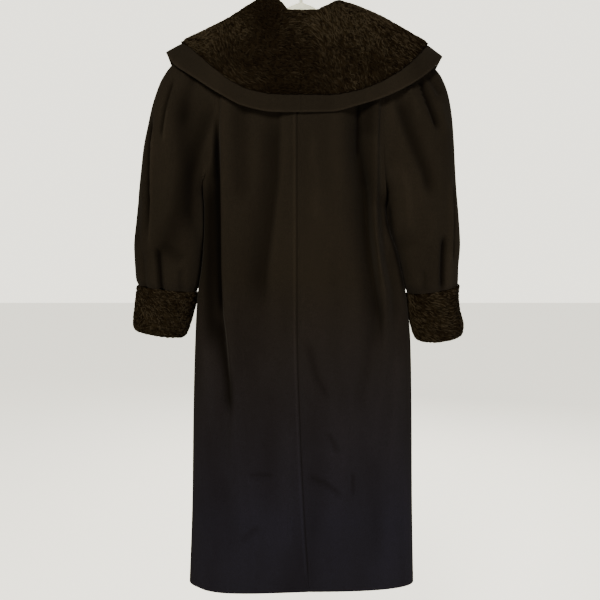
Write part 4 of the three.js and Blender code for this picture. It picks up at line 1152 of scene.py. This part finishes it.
def spread_places(grid, spacing, seed, closed):
    """Places (row, column) on a grid, as evenly dense on the surface as a spacing asks."""
    rng = np.random.default_rng(seed)
    down, across = (np.linalg.norm(step, axis=-1) for step in grid_steps(grid, closed))
    cell = down * across
    cell[-1] = 0
    if not closed:
        cell[:, -1] = 0
    total = np.concatenate([[0], np.cumsum(cell.ravel())])
    count = int(total[-1] / spacing ** 2)
    marks = (np.arange(count) + rng.uniform(0, 1, count)) * total[-1] / count
    picked = np.clip(np.searchsorted(total, marks) - 1, 0, cell.size - 1)
    i, j = np.unravel_index(picked, cell.shape)
    return np.stack([i + rng.uniform(0, 1, count), j + rng.uniform(0, 1, count)], -1)


# %% Locks of hair
LOCK_STEPS = 6
LOCK_SECTION = [(-1, -0.7), (0, 0.8), (1, -0.7)]    # across and up
LOCK_CREST_HIGHLIGHT = [0.6, 1, 0.6]                          # a painted highlight: the crest is paler than the sides
LIGHT, PATCHES, SINGLE, ROW_HIGHLIGHT_AND_SHADE = 0.55, 0.16, 0.17, 0.26   # usual, and how much each adds; the rows add a painted highlight and shade
PATCH_SIZE = 40
DARKEST, PALEST, CONTRAST = 0.03, 1.5, 1.4


def lock_lines(reader, places, stride, hair):
    """Points and normals along locks that start at places (row, column)."""
    i, j = places.T.copy()
    lines, tops = [], []
    for _ in range(LOCK_STEPS):
        place, normal, down, across = reader(i, j)
        lines.append(place)
        tops.append(normal)
        way = hair_way(hair, place)
        down_size, across_size = (np.linalg.norm(step, axis=1) for step in (down, across))
        angle = np.arctan2((way * down).sum(1) / down_size, (way * across).sum(1) / across_size)
        j = j + stride * np.cos(angle) / across_size
        i = i + stride * np.sin(angle) / down_size
    return np.stack(lines, 1), np.stack(tops, 1)


def lock_faces(count):
    """Triangles round each lock and over its two ends."""
    sides = len(LOCK_SECTION)
    number = np.arange(count * LOCK_STEPS * sides).reshape(count, LOCK_STEPS, sides)
    turned = np.roll(number, -1, axis=2)
    walls = [
        np.stack([number[:, :-1], number[:, 1:], turned[:, 1:]], -1),
        np.stack([number[:, :-1], turned[:, 1:], turned[:, :-1]], -1),
    ]
    ends = [number[:, 0, :], number[:, -1, ::-1]]
    return np.concatenate([wall.reshape(-1, sides) for wall in walls] + ends)


def locks(name, reader, places, sizes, seed, hair):
    """Locks that start at places (row, column) and follow the hair, as one mesh."""
    rng = np.random.default_rng(seed)
    count = len(places)
    length, width, height = (
        typical * rng.uniform(1 - spread, 1 + spread, count) for typical, spread in sizes)
    sense = rng.choice([-1, 1], count)
    lines, tops = lock_lines(reader, places, sense * length / (LOCK_STEPS - 1), hair)
    beside = unit(np.cross(unit(np.gradient(lines, axis=1)), tops))
    part = np.linspace(0, 1, LOCK_STEPS)
    taper = np.sin(math.pi * (0.1 + 0.8 * part)) ** 0.7
    rise = np.sin(math.pi * part) ** 0.6
    tip = rng.uniform(0, 1, count)[:, None] * part ** 3
    lines = lines + tops * ((rise - 0.55)[None] * height[:, None] * 0.5 + 0.8 * tip)[..., None]
    points = np.stack([
        lines + beside * (out * taper * width[:, None] / 2)[..., None]
        + tops * (up * taper * height[:, None] / 2)[..., None]
        for out, up in LOCK_SECTION
    ], axis=2)
    piece = mesh_piece(name, points, lock_faces(count), curls_fur)
    roots = lines[:, 0]
    patches = wander(seed + 1, PATCH_SIZE, *roots.T)
    light = LIGHT + PATCHES * patches + rng.normal(0, SINGLE, count)
    # rows: a painted highlight along each row and painted shade in the partings
    rows = np.sin(2 * math.pi * hair_level(hair, roots[:, 0], roots[:, 2]) / PARTING)
    light = (light + ROW_HIGHLIGHT_AND_SHADE * rows) * paleness(roots)
    # paler where the lock rises off the pelt, a painted highlight, and darker at its ends, a
    # painted shade
    shade = np.clip(light, DARKEST, PALEST)[:, None] ** CONTRAST * (0.3 + 0.9 * rise[None])
    give_shade(piece, shade[:, :, None] * LOCK_CREST_HIGHLIGHT)
    across = np.arange(len(LOCK_SECTION)) * width[:, None, None] / 2
    along = length[:, None, None] * part[None, :, None]
    along = along + rng.uniform(0, 500, count)[:, None, None]
    give_uv(piece, np.stack(np.broadcast_arrays(across, along), -1))
    return piece


# %% [markdown]
# The ground of the fur is thinner at the neck seam, where the pelt is pared for sewing, and
# its edge rounds over towards the band. Its ripples are low and uneven.

# %% Pelts
PILE = 2.6                      # how far the ground lies below the tips of the curls
ROOTS_LIFT = 0.3                # how far above the ground the locks start
RIPPLE_SIZE = 0.9


def ripples(seed, place):
    """Low uneven ripples, from -1 to 1, about as far apart as two locks."""
    axes = np.moveaxis(place, -1, 0)
    moved = [axis + 5 * wander(seed + n, 24, *axes) for n, axis in enumerate(axes)]
    return wander(seed + 3, 5.5, *moved)


def thick_skin(name, under, normals, depth, seed, closed):
    """A pelt's ground as a wall that grows from its underside."""
    outer = under + normals * depth[..., None]
    waves = ripples(seed, outer)
    strength = np.minimum(1, depth / depth.max())
    outer = outer + normals * (RIPPLE_SIZE * waves * strength)[..., None]
    piece = wall_piece(name, outer, under, under_fur, closed)
    # a painted highlight on the ripple crests, times the painted sheen
    shade = (0.3 + 0.3 * waves) * paleness(outer)
    give_shade(piece, np.concatenate([shade, np.zeros_like(shade)]))
    return piece


def pelt(name, under, normals, depth, fur, draws, closed=False):
    """The ground of a pelt and the locks on it. Each of its random draws has its own seed."""
    depth = np.broadcast_to(depth, under.shape[:2])
    ground = thick_skin(f"{name}_pelt", under, normals, depth, draws["ripples"], closed)
    top = under + normals * (depth + ROOTS_LIFT)[..., None]
    places = spread_places(top, fur["spacing"], draws["places"], closed)
    curls = locks(f"{name}_curls", surface_reader(top, normals, closed), places, fur["sizes"],
                  draws["locks"], draws["hair"])
    print(name, "ground", len(ground.data.polygons), "locks", len(places))
    return ground, curls


# %% Collar fur and band
# Length, width and height of the locks, each with its spread.
COLLAR_LOCKS = {"spacing": 4.6, "sizes": [(13.5, 0.3), (2.2, 0.3), (2.5, 0.25)]}
FUR_DEPTH = table("row part", [(0, 0.35), (1, 0.8), (1.6, 1), (4.9, 1), (BORDER, 0.8)])
LEAST_SKIN = 0.6
BAND_WIDTH = 34
EDGE_ROUND = (1.1, 1.3)         # how much thinner the band's edges are, and over what width
BAND_SHADE, TURNED_EDGE = 0.1, -0.7     # the last millimetres are a turned edge, and paler

for side, hand in HANDS.items():
    under, normals = collar_under(side, FUR_ROWS, STATIONS[side])
    full = FUR * read(FUR_DEPTH, "part", FUR_ROWS, "row")[:, None]
    draws = {"ripples": 300, "places": 41 + hand, "locks": 50 + hand, "hair": 60}
    ground, curls = pelt(f"collar_{side}", under, normals, np.maximum(full - PILE, LEAST_SKIN),
                         COLLAR_LOCKS, draws)
    under, normals = collar_under(side, BAND_ROWS, STATIONS[side])
    off_edge = np.minimum(BAND_ROWS - BORDER, 6 - BAND_ROWS)[:, None] * BAND_WIDTH
    swell = WOOL - EDGE_ROUND[0] * np.exp(-off_edge / EDGE_ROUND[1])
    band = wall_piece(f"collar_{side}_band", under + normals * swell[..., None], under, wool)
    shade = BAND_SHADE + TURNED_EDGE * fade((BAND_ROWS - 5.88) / 0.08)[:, None]
    shade = np.broadcast_to(shade, under.shape[:2])
    give_shade(band, np.concatenate([shade, shade]))
    dress(curls, f"collar_fur_{side}")
    dress(ground, f"collar_fur_{side}")
    dress(band, f"collar_band_{side}")
    print(side, "band", len(band.data.polygons))

# %% [markdown]
# ## The cuffs
# Each cuff is a deep ring of the same fur, sewn to the end of the sleeve. It is a wall
# between its outer rings and the rings a fur's thickness inside them, with rounded rims.

# %% Cuff sizes
CUFF = {
    "left": table(RING_COLUMNS, [
        (0, 344.5, -637, 213, -651.5, 44, 6, 2), (1, 346, -652, 214.5, -663, 47, 6, 2),
        (2, 350, -683, 222, -691, 48, 6, 2), (3, 353.5, -714, 233, -727, 48, 6, 2),
        (4, 351, -730, 241, -746, 45, 6, 2),
    ]),
    "right": table(RING_COLUMNS, [
        (0, 333, -635, 219, -653, 49, 6, 6), (1, 330.5, -651, 219.5, -668, 52, 6, 6),
        (2, 333.5, -684, 223, -696, 53, 6, 6), (3, 342, -720, 231, -731, 53, 6, 6),
        (4, 340, -739, 238, -751, 50, 6, 6),
    ]),
}
CUFF_LOCKS = {"spacing": 4.1, "sizes": [(11, 0.3), (1.9, 0.3), (2.1, 0.25)]}
CUFF_END = 4
CUFF_RINGS = np.concatenate(
    [[0, 0.02, 0.06, 0.12], np.linspace(0.2, 3.8, 32), [3.88, 3.94, 3.98, CUFF_END]])
CUFF_RING_SIZE = 24             # from one ring of the table to the next
CUFF_ROUND = 2.5                # how much thinner the rims are, and over what width
CUFF_COLUMNS = 112

# %% Cuffs
for side, hand in HANDS.items():
    turn = np.arange(CUFF_COLUMNS) / CUFF_COLUMNS * 2 * math.pi
    tips = ring_points(CUFF[side], hand, CUFF_RINGS, turn)
    normals = normals_of(tips, -hand, closed=True)
    normals[[0, -1], :, 2] = 0
    normals = unit(normals)
    off_rim = np.minimum(CUFF_RINGS, CUFF_END - CUFF_RINGS)[:, None] * CUFF_RING_SIZE
    depth = FUR - PILE - CUFF_ROUND * np.exp(-off_rim / CUFF_ROUND)
    draws = {"ripples": 320 + hand, "places": 71 + hand, "locks": 90 + hand, "hair": 80 + hand}
    ground, curls = pelt(f"cuff_{side}", tips - FUR * normals, normals, depth, CUFF_LOCKS, draws,
                         closed=True)
    dress(curls, f"cuff_{side}")
    dress(ground, f"cuff_{side}")

# %% [markdown]
# ## Hanger and buttons
# The hanger and the three buttons are small and simple, so the frame's own solids have the
# right shape already. They only get a finish: milky plastic that has yellowed in streaks, and
# dark polished horn.

# %% Finishes for the frame's own solids
for name in ["hanger"] + sorted(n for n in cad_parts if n.startswith("button_")):
    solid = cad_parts[name]
    finish = milky if name == "hanger" else horn
    solid.data.materials.clear()
    solid.data.materials.append(finish)
    print(name, "->", finish.name)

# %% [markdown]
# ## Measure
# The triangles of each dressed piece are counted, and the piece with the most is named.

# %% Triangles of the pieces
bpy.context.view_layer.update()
triangles = {
    piece.name: sum(len(face.vertices) - 2 for face in piece.data.polygons)
    for piece in bpy.context.scene.objects if piece.type == "MESH" and not piece.hide_render
}
largest = max(triangles, key=triangles.get)
print("triangles:", sum(triangles.values()), "most:", largest, triangles[largest])
